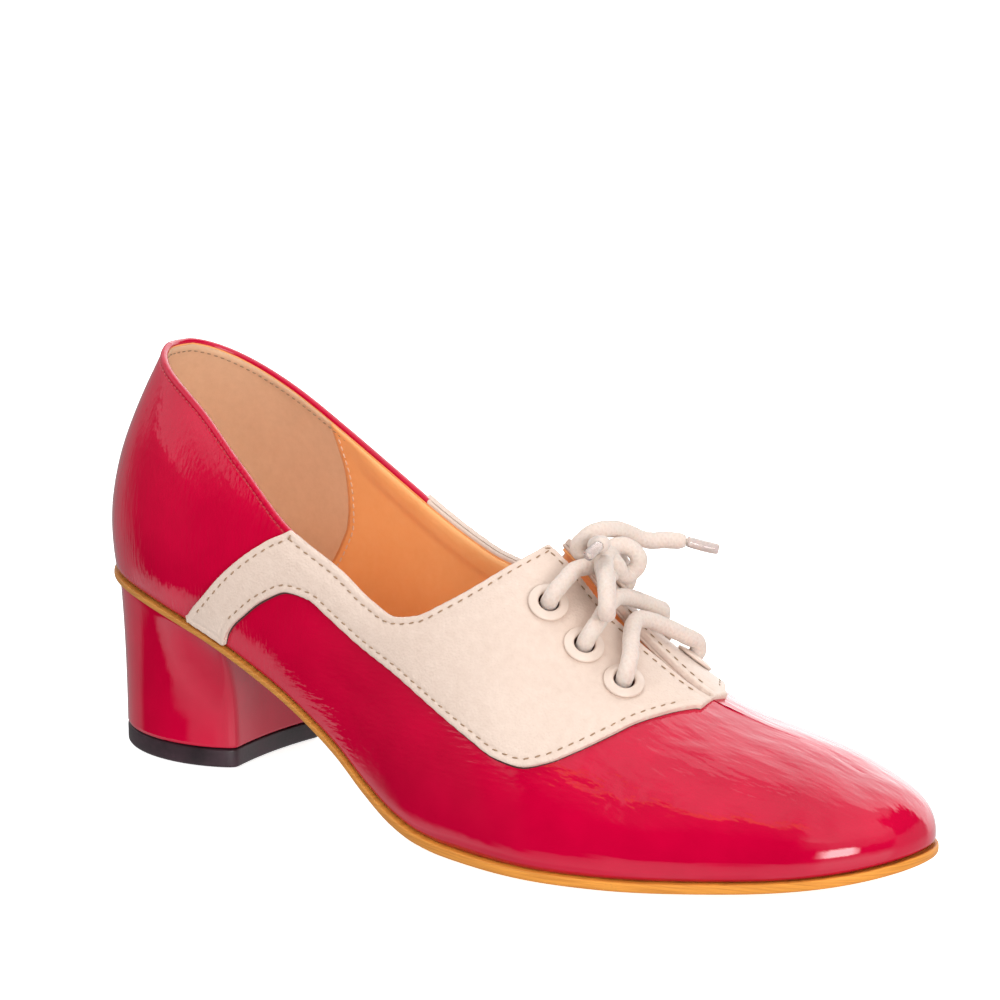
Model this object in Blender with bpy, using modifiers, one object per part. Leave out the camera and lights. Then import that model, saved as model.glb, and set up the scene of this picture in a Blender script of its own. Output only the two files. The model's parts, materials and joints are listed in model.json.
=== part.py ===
"""Lace-up court shoe with a block heel: the right shoe of a pair, standing empty on its sole.

The last runs along +X from the heel back (x = 0) to the toe. -Y is the outer (lateral) side,
+Y the inner (medial) side and z = 0 the floor. Tables and constants are in millimetres, and MM
turns them into metres. An empty moves the whole shoe so that its footprint is centred.
"""
import math

import bmesh
import bpy
import numpy as np
from mathutils import Matrix, Vector

MM = 0.001

# Driving sizes
LENGTH = 243.5            # heel back to toe tip, along the feather line
WALL = 1.6                # upper: outer leather and lining together
GAP = 0.3                 # clearance wherever two pieces meet
SOLE_THIN = 1.6           # outsole at the heel seat and the waist
SOLE_THICK = 2.4          # outsole under the forefoot
SOLE_STEP_START = 0.35    # share of the length where the outsole starts to thicken
SOLE_STEP_END = 0.50
SOLE_MARGIN = 0.8         # how far the outsole stands out past the feather line
TOE_SPRING = 8.3          # lift of the outsole's underside at the toe tip
TOE_SPRING_START = 0.74   # share of the length where the lift starts
FLEX_SKEW = 0.12          # the waist reaches the floor sooner on the outer side
TIP_OFFSET = 2.0          # toe tip, towards the inner side
INSOLE_THICK = 2.0
SADDLE_THICK = 1.2
HEEL_PIVOT = 30.0         # back and toe sections fan out around these two points of the ridge
TOE_PIVOT = 229.0
PIVOT_ROUND = 16.0

# Opening
THROAT_X = 186.0          # lowest point of the lacing slit
CORNER_X = 141.5          # top corner of the facings
SLIT_HALF_TOP = 3.8
SLIT_HALF_LOW = 0.6
SLIT_BACK_X = 121.5       # behind this the sections end at the collar alone

# Heel
TOP_LIFT_THICK = 5.0
HEEL_BACK = 2.6           # at the floor
HEEL_BREAST = 50.3        # at the floor
HEEL_WIDEST = 31.5        # x of the widest place, at the floor
HEEL_HALF_WIDTH = 23.1
HEEL_TOP_BACK = 0.8       # at the seat
HEEL_TOP_BREAST = 53.0
HEEL_SEAT_INSET = 0.7     # heel seat, inside the edge of the outsole
HEEL_FLARE = 2.6          # power of the flare towards the seat
BREAST_HOLLOW = 1.6

# Eyelets, three rows from the top down
EYELET_ROWS_X = (148.3, 158.8, 170.3)
EYELET_FROM_RIDGE = 15.0
EYELET_BORE = 5.2
EYELET_BARREL = 6.0
EYELET_FLANGE = 10.0
EYELET_RISE = 1.0
EYELET_DEPTH = 4.0

# Lace
LACE = 4.2                # diameter of the round cord
LACE_STEP = 2.4           # spacing of a tube's sections
KNOT = (155.5, -0.5, 66.6)
KNOT_HALF = (4.6, 5.0, 3.8)
TIP = 2.8                 # diameter of the clear lace tips
BAR_OVER_RIDGE = 3.8      # centre line of a bar above the ridge of the last
BAR_DRAWN_BACK = {2: 1.5, 3: 7.0}    # how far each bar is pulled towards the knot at the slit

# Mesh
STATIONS = 54             # sections from the heel back to the toe
ROWS = 10                 # rows from the feather line to the top edge
SADDLE_STATIONS = 40
SADDLE_ROWS = 6
HEEL_SIDE_POINTS = 15
BREAST_POINTS = 5
HEEL_LEVELS = (0.0, 0.25, 0.5, 0.7, 0.85, 0.95, 1.0)
EYELET_SIDES = 16

# Footprint centre in the frame of the last
CENTRE_X = 121.7
CENTRE_Y = -4.5


def table(columns, rows):
    """A short table as one array for each named column."""
    return dict(zip(columns.split(), np.array(rows, float).T))


# Half widths of the feather line, by share of the length
PLAN = table("f lateral medial", [
    (0.05, 19.0, 18.0),
    (0.12, 25.5, 24.0),
    (0.20, 27.5, 25.5),
    (0.30, 27.5, 24.0),
    (0.40, 30.5, 22.5),
    (0.50, 38.0, 25.0),
    (0.58, 42.5, 29.5),
    (0.66, 43.8, 33.5),
    (0.74, 39.3, 35.0),
    (0.82, 31.5, 33.0),
    (0.89, 25.5, 28.5),
    (0.95, 18.5, 21.0),
])

# Height of the outsole's underside, heel seat to tread
SHANK = table("f z", [
    (0.00, 46.4),
    (0.10, 43.6),
    (0.20, 38.0),
    (0.30, 27.8),
    (0.40, 14.8),
    (0.45, 7.6),
    (0.50, 2.6),
    (0.54, 0.6),
    (0.58, 0.0),
    (0.74, 0.0),
])

# Top line of the last: over the ankle, down the instep and along the vamp
RIDGE = table("f z y", [
    (0.00, 152.0, 0.0),
    (0.10, 142.0, 0.0),
    (0.20, 128.0, 0.0),
    (0.31, 110.0, 0.0),
    (0.40, 96.0, 0.0),
    (0.48, 85.0, 0.0),
    (0.576, 72.0, 0.0),
    (0.604, 66.5, 0.0),
    (0.64, 57.5, 0.0),
    (0.70, 46.1, 0.4),
    (0.755, 38.0, 1.2),
    (0.80, 34.6, 1.8),
    (0.88, 30.6, 2.0),
    (0.93, 26.2, 2.0),
    (1.00, 19.0, 2.0),
])

# Each section: lean out at the feather (degrees), lower handle as a share of the rise,
# upper handle as a share of the reach, fall away from the ridge (degrees)
SECTION = table("f lean low high fall", [
    (0.00, 9.0, 0.36, 1.50, 66.0),
    (0.15, 12.0, 0.36, 1.50, 60.0),
    (0.30, 9.0, 0.38, 1.20, 48.0),
    (0.45, 6.0, 0.42, 0.80, 32.0),
    (0.58, 6.0, 0.45, 0.60, 20.0),
    (0.66, 8.0, 0.45, 0.58, 14.0),
    (0.75, 10.0, 0.52, 0.55, 6.0),
    (0.90, 10.0, 0.60, 0.52, 3.0),
    (1.00, 8.0, 0.66, 0.58, 10.0),
])

# Height of the collar edge on each side
COLLAR = table("x lateral medial", [
    (18.0, 109.0, 109.0),
    (42.0, 96.0, 97.0),
    (58.0, 83.6, 87.5),
    (76.0, 69.2, 77.5),
    (92.5, 61.2, 68.7),
    (103.5, 55.4, 63.3),
    (112.0, 52.9, 59.8),
    (119.0, 54.0, 58.5),
    (124.5, 57.0, 59.5),
    (130.5, 61.0, 61.8),
    (136.0, 65.7, 65.7),
    (141.5, 71.0, 71.0),
    (148.0, 82.0, 82.0),
])

# Saddle: height of its lower edge, and of the rear edge of its strap
SADDLE_LOW = table("x z", [
    (56.0, 35.0),
    (58.0, 40.2),
    (64.0, 46.2),
    (70.5, 51.0),
    (78.0, 54.0),
    (85.0, 53.0),
    (91.5, 49.8),
    (102.5, 44.8),
    (117.5, 39.8),
    (129.0, 35.4),
    (143.0, 30.0),
    (152.0, 26.6),
    (158.0, 25.7),
    (163.5, 27.0),
    (170.0, 30.2),
    (174.9, 33.2),
    (177.7, 35.0),
    (180.6, 36.0),
    (183.2, 36.5),
    (185.5, 36.6),
    (187.5, 36.2),
])
SADDLE_REAR = table("x z", [
    (43.0, 40.6),
    (44.5, 43.0),
    (51.0, 49.6),
    (57.5, 56.2),
    (65.0, 62.4),
    (70.5, 66.0),
    (76.0, 69.0),
    (80.0, 76.0),
])
SADDLE_REAR_MEDIAL = table("x z", [
    (43.0, 40.6),
    (44.6, 43.0),
    (53.0, 49.6),
    (61.5, 56.4),
    (71.0, 63.2),
    (79.0, 68.0),
    (87.0, 72.2),
    (91.0, 79.0),
])
SADDLE_START_X = 44.2
SADDLE_END_X = 186.6
STRAP_FOOT = 0.012        # share of a section by which the strap stays clear of the outsole
SADDLE_TIP = 0.02         # least height of the saddle, as a share of a section

# Free lace: hand-laid routes. The loops start and end inside the knot, the rest stops short of it
LOOP_ROUTES = {
    "front": [
        (156.3, -2.4, 67.8), (159.7, -7.4, 68.0), (163.0, -11.8, 66.4), (165.2, -14.6, 63.6),
        (166.4, -16.2, 61.2), (165.6, -15.0, 59.1), (163.9, -12.4, 59.8), (162.9, -10.8, 62.3),
        (160.9, -8.0, 64.9), (157.8, -4.2, 66.4), (155.7, -1.5, 66.8),
    ],
    "right": [
        (154.9, 0.6, 67.8), (154.8, 2.5, 70.0), (156.1, 4.5, 70.8), (158.3, 6.0, 70.1),
        (160.0, 6.6, 68.3), (160.4, 6.4, 66.3), (159.5, 5.6, 64.6), (158.4, 4.2, 63.7),
        (157.7, 2.4, 64.6), (157.9, 1.2, 66.2), (157.1, 0.4, 67.6), (155.2, 0.2, 67.7),
    ],
}
END_ROUTES = {
    "lace_end_right": [
        (149.8, -0.3, 68.4), (148.9, -1.0, 68.7), (148.4, -1.9, 69.7), (148.5, -2.2, 71.1),
        (149.3, -1.6, 72.2), (150.6, 0.4, 73.9), (152.1, 3.4, 74.4), (153.3, 6.8, 74.0),
        (154.6, 10.2, 72.7), (156.0, 13.4, 70.9), (157.9, 16.0, 70.0), (159.9, 18.4, 70.0),
        (162.2, 20.2, 69.8), (164.3, 21.6, 69.7),
    ],
    "lace_end_left": [(154.6, -3.6, 72.0), (158.8, -7.2, 73.7), (159.7, -9.6, 74.0)],
}
RUN_TO_KNOT = {
    "lateral": [(151.4, -8.6, 66.2), (151.8, -6.4, 66.6)],
    "medial": [(151.8, 9.6, 66.4), (152.0, 6.4, 66.8)],
}
LACE_TIPS = {
    "lace_tip_right": [(164.8, 22.1, 69.5), (167.6, 24.2, 68.5), (170.9, 26.4, 67.6)],
    "lace_tip_left": [(159.8, -10.4, 73.9), (160.1, -12.8, 73.3), (160.3, -15.4, 72.5)],
}


def monotone(x, y, q):
    """Monotone cubic through the points (x, y), read at q."""
    h = np.diff(x)
    s = np.diff(y) / h
    before = 2 * h[1:] + h[:-1]
    after = h[1:] + 2 * h[:-1]
    m = np.concatenate([s[:1], np.zeros(len(s) - 1), s[-1:]])
    rising = s[:-1] * s[1:] > 0
    harmonic = before[rising] / s[:-1][rising] + after[rising] / s[1:][rising]
    m[1:-1][rising] = (before + after)[rising] / harmonic
    i = np.clip(np.searchsorted(x, q) - 1, 0, len(h) - 1)
    t = (q - x[i]) / h[i]
    ends = (1 + 2 * t) * (1 - t) ** 2 * y[i] + t * t * (3 - 2 * t) * y[i + 1]
    return ends + h[i] * t * (1 - t) * ((1 - t) * m[i] - t * m[i + 1])


def read(rows, column, q, key="f"):
    """One column of a table at q, held at the table's ends."""
    x = rows[key]
    return monotone(x, rows[column], np.clip(q, x[0], x[-1]))


def ring_spline(angles, values):
    """Second derivatives of the closed cubic spline through values at angles in one turn."""
    n = len(angles)
    h = np.diff(np.append(angles, angles[0] + 2 * math.pi))
    slope = (np.roll(values, -1) - values) / h
    matrix = np.zeros((n, n))
    for i in range(n):
        matrix[i, i - 1] += h[i - 1]
        matrix[i, i] += 2 * (h[i - 1] + h[i])
        matrix[i, (i + 1) % n] += h[i]
    return h, np.linalg.solve(matrix, 6 * (slope - np.roll(slope, 1)))


RING_SIDE = np.arccos(1 - 2 * PLAN["f"])
RING_ANGLES = np.concatenate([[0.0], RING_SIDE, [math.pi], 2 * math.pi - RING_SIDE[::-1]])
RING_Y = np.concatenate([[0.0], -PLAN["lateral"], [TIP_OFFSET], PLAN["medial"][::-1]])
RING_STEP, RING_BEND = ring_spline(RING_ANGLES, RING_Y)


def feather_y(angle):
    """Y of the feather line at an angle round the shoe: heel back 0, toe tip pi."""
    a = np.mod(angle, 2 * math.pi)
    i = np.searchsorted(RING_ANGLES, a, side="right") - 1
    j = (i + 1) % len(RING_ANGLES)
    h = RING_STEP[i]
    d = a - RING_ANGLES[i]
    slope = (RING_Y[j] - RING_Y[i]) / h - h * (2 * RING_BEND[i] + RING_BEND[j]) / 6
    return RING_Y[i] + d * (slope + d * (RING_BEND[i] / 2 + d * (RING_BEND[j] - RING_BEND[i]) / (6 * h)))


def share_of(angle):
    """Share of the length at an angle round the shoe."""
    return (1 - np.cos(angle)) / 2


def angle_at(x, side):
    """Angle of the feather line at x, on side -1 (lateral) or +1 (medial)."""
    a = np.arccos(np.clip(1 - 2 * np.asarray(x, float) / LENGTH, -1, 1))
    return a if side < 0 else 2 * math.pi - a


def outline(angle, grow):
    """Feather line in plan, grown outwards by grow."""
    step = 1e-4
    dx = LENGTH * (share_of(angle + step) - share_of(angle - step))
    dy = feather_y(angle + step) - feather_y(angle - step)
    length = np.hypot(dx, dy)
    return LENGTH * share_of(angle) + grow * dy / length, feather_y(angle) - grow * dx / length


def sole_under(x, y):
    """Height of the outsole's underside."""
    spring = np.clip((x / LENGTH - TOE_SPRING_START) / (1 - TOE_SPRING_START), 0, None)
    return read(SHANK, "z", (x - FLEX_SKEW * y) / LENGTH) + TOE_SPRING * spring ** 2


def sole_top(x, y):
    """Height of the outsole's upper face."""
    share = np.clip((x / LENGTH - SOLE_STEP_START) / (SOLE_STEP_END - SOLE_STEP_START), 0, 1)
    return sole_under(x, y) + SOLE_THIN + (SOLE_THICK - SOLE_THIN) * share


def ridge_x(x):
    """Where a section starting at x on the feather line ends on the ridge."""
    up = (x + HEEL_PIVOT + np.sqrt((x - HEEL_PIVOT) ** 2 + PIVOT_ROUND ** 2)) / 2
    return (up + TOE_PIVOT - np.sqrt((up - TOE_PIVOT) ** 2 + PIVOT_ROUND ** 2)) / 2


def last(angle, t):
    """Point of the last: angle round the shoe, t from the feather line (0) to the ridge (1)."""
    angle, t = np.broadcast_arrays(np.asarray(angle, float), np.asarray(t, float))
    f = share_of(angle)
    x, y = LENGTH * f, feather_y(angle)
    foot = np.stack([x, y, sole_top(x, y) + GAP], -1)
    g = ridge_x(x) / LENGTH
    top = np.stack([g * LENGTH, read(RIDGE, "y", g), read(RIDGE, "z", g)], -1)
    across = foot - top
    across[..., 2] = 0
    reach = np.linalg.norm(across, axis=-1, keepdims=True)
    across = across / reach
    up = np.array([0.0, 0.0, 1.0])
    rise = (top - foot)[..., 2:]
    lean = np.radians(read(SECTION, "lean", f))[..., None]
    fall = np.radians(read(SECTION, "fall", f))[..., None]
    low = read(SECTION, "low", f)[..., None] * rise
    high = read(SECTION, "high", f)[..., None] * reach
    handle_1 = foot + low * (across * np.sin(lean) + up * np.cos(lean))
    handle_2 = top + high * (across * np.cos(fall) - up * np.sin(fall))
    t = t[..., None]
    s = 1 - t
    return s ** 3 * foot + 3 * s * s * t * handle_1 + 3 * s * t * t * handle_2 + t ** 3 * top


def last_normal(angle, t):
    """Outward unit normal of the last."""
    step = 1e-3
    inside = np.clip(t, step, 1 - step)
    along = last(angle + step, inside) - last(angle - step, inside)
    upward = last(angle, inside + step) - last(angle, inside - step)
    n = np.cross(along, upward)
    return n / np.linalg.norm(n, axis=-1, keepdims=True)


def skin(angle, t, proud):
    """Surface that lies proud of the last."""
    return last(angle, t) + proud * last_normal(angle, t)


def first_t(angle, inside):
    """Largest t whose point still satisfies inside, found by halving."""
    low = np.zeros_like(angle)
    high = np.ones_like(angle)
    for _ in range(40):
        middle = (low + high) / 2
        keep = inside(last(angle, middle))
        low = np.where(keep, middle, low)
        high = np.where(keep, high, middle)
    return low


def below_collar(side_name):
    return lambda p: p[..., 2] < read(COLLAR, side_name, p[..., 0], "x")


def beside_slit(p):
    share = np.clip((THROAT_X - p[..., 0]) / (THROAT_X - CORNER_X), 0, 2)
    half = SLIT_HALF_LOW + (SLIT_HALF_TOP - SLIT_HALF_LOW) * share
    ahead = p[..., 0] > SLIT_BACK_X
    return ~ahead | (np.abs(p[..., 1] - read(RIDGE, "y", p[..., 0] / LENGTH)) > half)


def side_of(angle):
    return np.where(np.mod(angle, 2 * math.pi) <= math.pi, -1, 1)


def edge_t(angle):
    """Where each section of the upper stops: collar, facing, or the closed ridge of the vamp."""
    lateral = first_t(angle, below_collar("lateral"))
    medial = first_t(angle, below_collar("medial"))
    collar = np.where(side_of(angle) < 0, lateral, medial)
    edge = np.minimum(collar, first_t(angle, beside_slit))
    return np.where(LENGTH * share_of(angle) >= THROAT_X - 0.01, 1.0, edge)


def eyelet_seats():
    """Angle and t of each eyelet, by name, from the top row down on each side."""
    seats = {}
    for side, name in ((-1, "lateral"), (1, "medial")):
        for row, x in enumerate(EYELET_ROWS_X, 1):
            angle = np.array([angle_at(x, side)])
            far = first_t(angle, lambda p: np.abs(p[..., 1] - read(RIDGE, "y", p[..., 0] / LENGTH))
                          > EYELET_FROM_RIDGE)
            seats[f"eyelet_{name}_{row}"] = (float(angle[0]), float(far[0]))
    return seats


def material(name, rgb, roughness, metallic=0.0):
    mat = bpy.data.materials.new(name)
    mat.use_nodes = True
    shader = mat.node_tree.nodes["Principled BSDF"]
    shader.inputs["Base Color"].default_value = (*rgb, 1.0)
    shader.inputs["Roughness"].default_value = roughness
    shader.inputs["Metallic"].default_value = metallic
    mat.diffuse_color = (*rgb, 1.0)
    return mat


def place(obj, collection, parent, mat=None):
    """Puts an object in its collection, under the shoe's empty, with its material."""
    for other in obj.users_collection:
        other.objects.unlink(obj)
    collection.objects.link(obj)
    obj.parent = parent
    if mat:
        obj.data.materials.append(mat)
    return obj


def mesh_object(name, points, faces):
    mesh = bpy.data.meshes.new(name)
    mesh.from_pydata([tuple(MM * c for c in p) for p in points], [], faces)
    mesh.update()
    obj = bpy.data.objects.new(name, mesh)
    mesh.shade_smooth()
    mesh.set_sharp_from_angle(angle=math.radians(40))
    return obj


def solidify(obj, thickness, offset):
    wall = obj.modifiers.new("wall", "SOLIDIFY")
    wall.thickness = thickness * MM
    wall.offset = offset
    wall.use_even_offset = True
    wall.use_quality_normals = True


def cut(obj, cutters):
    """Cuts every cutter of a collection out of obj."""
    holes = obj.modifiers.new("holes", "BOOLEAN")
    holes.operation = "DIFFERENCE"
    holes.operand_type = "COLLECTION"
    holes.collection = cutters


def station_angles():
    """Angles of the upper's sections, with one exactly at the throat and one at each corner."""
    side = math.pi * np.arange(STATIONS + 1) / STATIONS
    for x in (THROAT_X, CORNER_X):
        key = angle_at(x, -1)
        side[np.argmin(np.abs(side - key))] = key
    return np.concatenate([side, 2 * math.pi - side[-2:0:-1]])


def build_upper():
    """Vamp and quarters as one surface, welded along the ridge of the vamp, with a real wall."""
    angles = station_angles()
    count = len(angles)
    edge = edge_t(angles)
    grid = last(angles[:, None], edge[:, None] * np.linspace(0, 1, ROWS + 1))
    ids = np.arange(count * (ROWS + 1)).reshape(count, ROWS + 1)
    closed = np.flatnonzero((edge == 1.0) & (side_of(angles) > 0))
    ids[closed, ROWS] = ids[count - closed, ROWS]
    used = np.unique(ids)
    number = {old: new for new, old in enumerate(used)}
    points = grid.reshape(-1, 3)[used]
    faces = []
    for i in range(count):
        k = (i + 1) % count
        for j in range(ROWS):
            corners = (ids[i, j], ids[k, j], ids[k, j + 1], ids[i, j + 1])
            faces.append([number[c] for c in corners])
    upper = mesh_object("upper", points, faces)
    solidify(upper, WALL, -1)
    return upper


def build_saddle(name, side):
    """Overlay from the facing down the instep, with a strap back to the heel seat."""
    even = np.linspace(0, 1, SADDLE_STATIONS + 1)
    x = SADDLE_START_X + (SADDLE_END_X - SADDLE_START_X) * even
    angles = angle_at(x, side)
    rear = SADDLE_REAR if side < 0 else SADDLE_REAR_MEDIAL
    below_rear = first_t(angles, lambda p: (p[..., 0] > rear["x"][-1])
                         | (p[..., 2] < read(rear, "z", p[..., 0], "x")))
    low = first_t(angles, lambda p: p[..., 2] < read(SADDLE_LOW, "z", p[..., 0], "x"))
    low = np.maximum(low, STRAP_FOOT)
    high = np.maximum(np.minimum(below_rear, edge_t(angles)), low + SADDLE_TIP)
    t = low[:, None] + (high - low)[:, None] * np.linspace(0, 1, SADDLE_ROWS + 1)
    points = skin(angles[:, None], t, GAP).reshape(-1, 3)
    across = SADDLE_ROWS + 1
    faces = []
    for i in range(SADDLE_STATIONS):
        for j in range(SADDLE_ROWS):
            corner = i * across + j
            quad = [corner, corner + across, corner + across + 1, corner + 1]
            faces.append(quad if side < 0 else quad[::-1])
    saddle = mesh_object(name, points, faces)
    solidify(saddle, SADDLE_THICK, 1)
    return saddle


def plate(name, grow, under, over):
    """Plate on the last's outline between two height functions, as rungs across the foot."""
    side = math.pi * np.arange(STATIONS + 1) / STATIONS
    angles = np.concatenate([side, 2 * math.pi - side[-2:0:-1]])
    count = len(angles)
    x, y = outline(angles, grow)
    points = np.concatenate([np.stack([x, y, height(x, y)], -1) for height in (under, over)])
    faces = []
    for i in range(count):
        k = (i + 1) % count
        faces.append([i, k, k + count, i + count])
    for i in range(STATIONS):
        a, b = i, i + 1
        rung = [a, b, count - b, (count - a) % count]
        rung = list(dict.fromkeys(rung))
        faces.append(rung[::-1])
        faces.append([c + count for c in rung])
    return mesh_object(name, points, faces)


def heel_ring(level):
    """Outline of the heel at a level: 0 at the top lift, 1 at the seat under the outsole."""
    reach = HEEL_WIDEST - HEEL_BACK
    turn = np.linspace(0, math.acos((HEEL_WIDEST - HEEL_BREAST) / reach), HEEL_SIDE_POINTS)
    low_x = HEEL_WIDEST - reach * np.cos(turn)
    share = (low_x - HEEL_BACK) / (HEEL_BREAST - HEEL_BACK)
    top_x = HEEL_TOP_BACK + (HEEL_TOP_BREAST - HEEL_TOP_BACK) * share
    flare = level ** HEEL_FLARE
    sides = []
    for side in (-1, 1):
        seat_x, seat_y = outline(angle_at(top_x, side), -HEEL_SEAT_INSET)
        low_y = side * HEEL_HALF_WIDTH * np.sin(turn)
        sides.append(np.stack([low_x + (seat_x - low_x) * flare, low_y + (seat_y - low_y) * flare], -1))
    lateral, medial = sides
    lateral[0, 1] = medial[0, 1] = 0
    v = np.linspace(-1, 1, BREAST_POINTS + 2)[1:-1, None]
    breast = lateral[-1] * (1 - v) / 2 + medial[-1] * (1 + v) / 2
    breast[:, 0] -= BREAST_HOLLOW * (1 - v[:, 0] ** 2)
    ring = np.concatenate([lateral, breast, medial[:0:-1]])
    bottom = TOP_LIFT_THICK + GAP
    seat = sole_under(ring[:, 0], ring[:, 1]) - GAP
    return np.column_stack([ring, bottom + (seat - bottom) * level])


def cap_faces(count):
    """Rungs across a heel ring from its back to its breast."""
    n = HEEL_SIDE_POINTS
    rungs = [[i, i + 1, count - i - 1, (count - i) % count] for i in range(n - 2)]
    rungs = [list(dict.fromkeys(r)) for r in rungs]
    rungs.append(list(range(n - 2, count - n + 3)))
    return rungs


def build_heel():
    rings = [heel_ring(level) for level in HEEL_LEVELS]
    count = len(rings[0])
    faces = []
    for level in range(len(rings) - 1):
        for i in range(count):
            k = (i + 1) % count
            a = level * count
            faces.append([a + i, a + k, a + count + k, a + count + i])
    faces += [rung[::-1] for rung in cap_faces(count)]
    top = (len(rings) - 1) * count
    faces += [[c + top for c in rung] for rung in cap_faces(count)]
    return mesh_object("heel_block", np.concatenate(rings), faces)


def build_top_lift():
    ring = heel_ring(0.0)
    count = len(ring)
    points = np.concatenate([ring, ring])
    points[:count, 2] = 0
    points[count:, 2] = TOP_LIFT_THICK
    faces = [[i, (i + 1) % count, (i + 1) % count + count, i + count] for i in range(count)]
    faces += [rung[::-1] for rung in cap_faces(count)]
    faces += [[c + count for c in rung] for rung in cap_faces(count)]
    return mesh_object("top_lift", points, faces)


def build_eyelet(name, seat):
    """Turned ring with a barrel, seated on the saddle along the last's normal."""
    bore, barrel, rim = EYELET_BORE / 2, EYELET_BARREL / 2, EYELET_FLANGE / 2
    profile = [
        (bore, 0.4 * EYELET_RISE),
        (bore + 0.6, 0.9 * EYELET_RISE),
        ((bore + rim) / 2, EYELET_RISE),
        (rim - 0.4, 0.7 * EYELET_RISE),
        (rim, 0.25 * EYELET_RISE),
        (rim, 0.0),
        (barrel, 0.0),
        (barrel, -EYELET_DEPTH),
        (bore, -EYELET_DEPTH),
    ]
    count = len(profile)
    mesh = bpy.data.meshes.new(name)
    edges = [(i, (i + 1) % count) for i in range(count)]
    mesh.from_pydata([(MM * r, 0, MM * z) for r, z in profile], edges, [])
    ring = bpy.data.objects.new(name, mesh)
    turn = ring.modifiers.new("turn", "SCREW")
    turn.steps = turn.render_steps = EYELET_SIDES
    turn.use_merge_vertices = True
    turn.merge_threshold = 0.00001
    turn.use_smooth_shade = True
    set_on_last(ring, seat, GAP + SADDLE_THICK + GAP)
    return ring


def set_on_last(obj, seat, proud):
    """Places an object at a seat on the last, its local Z along the normal."""
    normal = Vector(last_normal(*seat))
    obj.location = Vector(skin(*seat, proud)) * MM
    obj.rotation_euler = normal.to_track_quat("Z", "Y").to_euler()


def build_hole(name, seat):
    """Cutter for one eyelet's barrel through saddle and upper."""
    depth = 4 * EYELET_DEPTH
    radius = EYELET_BARREL / 2 + GAP
    bpy.ops.mesh.primitive_cylinder_add(vertices=EYELET_SIDES, radius=radius * MM, depth=depth * MM)
    hole = bpy.context.object
    hole.name = name
    hole.hide_render = True
    hole.display_type = "WIRE"
    set_on_last(hole, seat, 0.0)
    return hole


def smooth_route(points):
    """Evenly spaced points on a smooth curve through a route's own points."""
    p = np.array(points, float)
    p = np.concatenate([2 * p[:1] - p[1:2], p, 2 * p[-1:] - p[-2:-1]])
    fine = []
    for a, b, c, d in zip(p, p[1:], p[2:], p[3:]):
        for u in np.linspace(0, 1, 20, endpoint=False):
            fine.append(0.5 * (2 * b + (c - a) * u + (2 * a - 5 * b + 4 * c - d) * u * u
                               + (3 * b - a - 3 * c + d) * u ** 3))
    fine = np.array(fine + [p[-2]])
    run = np.concatenate([[0], np.cumsum(np.linalg.norm(np.diff(fine, axis=0), axis=1))])
    even = np.linspace(0, run[-1], max(2, round(run[-1] / LACE_STEP)) + 1)
    return np.stack([np.interp(even, run, fine[:, c]) for c in range(3)], -1)


def build_tube(name, route, diameter):
    curve = bpy.data.curves.new(name, "CURVE")
    curve.dimensions = "3D"
    curve.bevel_depth = diameter / 2 * MM
    curve.bevel_resolution = 2
    curve.use_fill_caps = True
    points = smooth_route(route)
    line = curve.splines.new("POLY")
    line.points.add(len(points) - 1)
    for point, place_at in zip(line.points, points):
        point.co = (*(place_at * MM), 1.0)
    return bpy.data.objects.new(name, curve)


def out_of_eyelet(seat, target):
    """Route of a lace from inside an eyelet, up its bore and over its rim towards a target point."""
    base = skin(*seat, GAP + SADDLE_THICK + GAP)
    normal = last_normal(*seat)
    inwards = target - base
    inwards -= normal * np.dot(inwards, normal)
    inwards /= np.linalg.norm(inwards)
    steps = table("up over", [(-1.5, 0.0), (0.6, 0.0), (2.2, 0.5), (3.4, 2.2), (3.4, 5.0)])
    return [base + normal * u + inwards * o for u, o in zip(steps["up"], steps["over"])]


def build_bar(row, seats):
    """Lace across one row, over both facings and drawn back towards the knot at the slit."""
    ridge = angle_at(EYELET_ROWS_X[row - 1] - BAR_DRAWN_BACK[row], -1)
    top = last(ridge, 1.0) + last_normal(ridge, 1.0) * BAR_OVER_RIDGE
    lateral = out_of_eyelet(seats[f"eyelet_lateral_{row}"], top)
    medial = out_of_eyelet(seats[f"eyelet_medial_{row}"], top)
    return build_tube(f"lace_bar_{row}", [*lateral, top, *medial[::-1]], LACE)


def as_mesh(tube):
    """A tube as a closed mesh object that can be joined to another."""
    graph = bpy.context.evaluated_depsgraph_get()
    mesh = bpy.data.meshes.new_from_object(tube.evaluated_get(graph))
    body = bmesh.new()
    body.from_mesh(mesh)
    bmesh.ops.remove_doubles(body, verts=body.verts, dist=0.00001)
    bmesh.ops.recalc_face_normals(body, faces=body.faces)
    body.to_mesh(mesh)
    body.free()
    return mesh


def build_bow(cutters, parent):
    """Knot with its two loops joined on."""
    mesh = bpy.data.meshes.new("lace_bow")
    ball = bmesh.new()
    shape = Matrix.Translation(Vector(KNOT) * MM) @ Matrix.Diagonal((*KNOT_HALF, 1.0))
    bmesh.ops.create_uvsphere(ball, u_segments=14, v_segments=9, radius=MM, matrix=shape)
    ball.to_mesh(mesh)
    ball.free()
    mesh.shade_smooth()
    bow = bpy.data.objects.new("lace_bow", mesh)
    for name, route in LOOP_ROUTES.items():
        tube = build_tube(f"loop_{name}", route, LACE)
        bpy.context.scene.collection.objects.link(tube)
        loop = bpy.data.objects.new(f"bow_loop_{name}", as_mesh(tube))
        bpy.data.objects.remove(tube)
        loop.hide_render = True
        loop.display_type = "WIRE"
        place(loop, cutters, parent)
        joined = bow.modifiers.new(f"loop_{name}", "BOOLEAN")
        joined.operation = "UNION"
        joined.use_self = True
        joined.object = loop
    return bow


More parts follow.
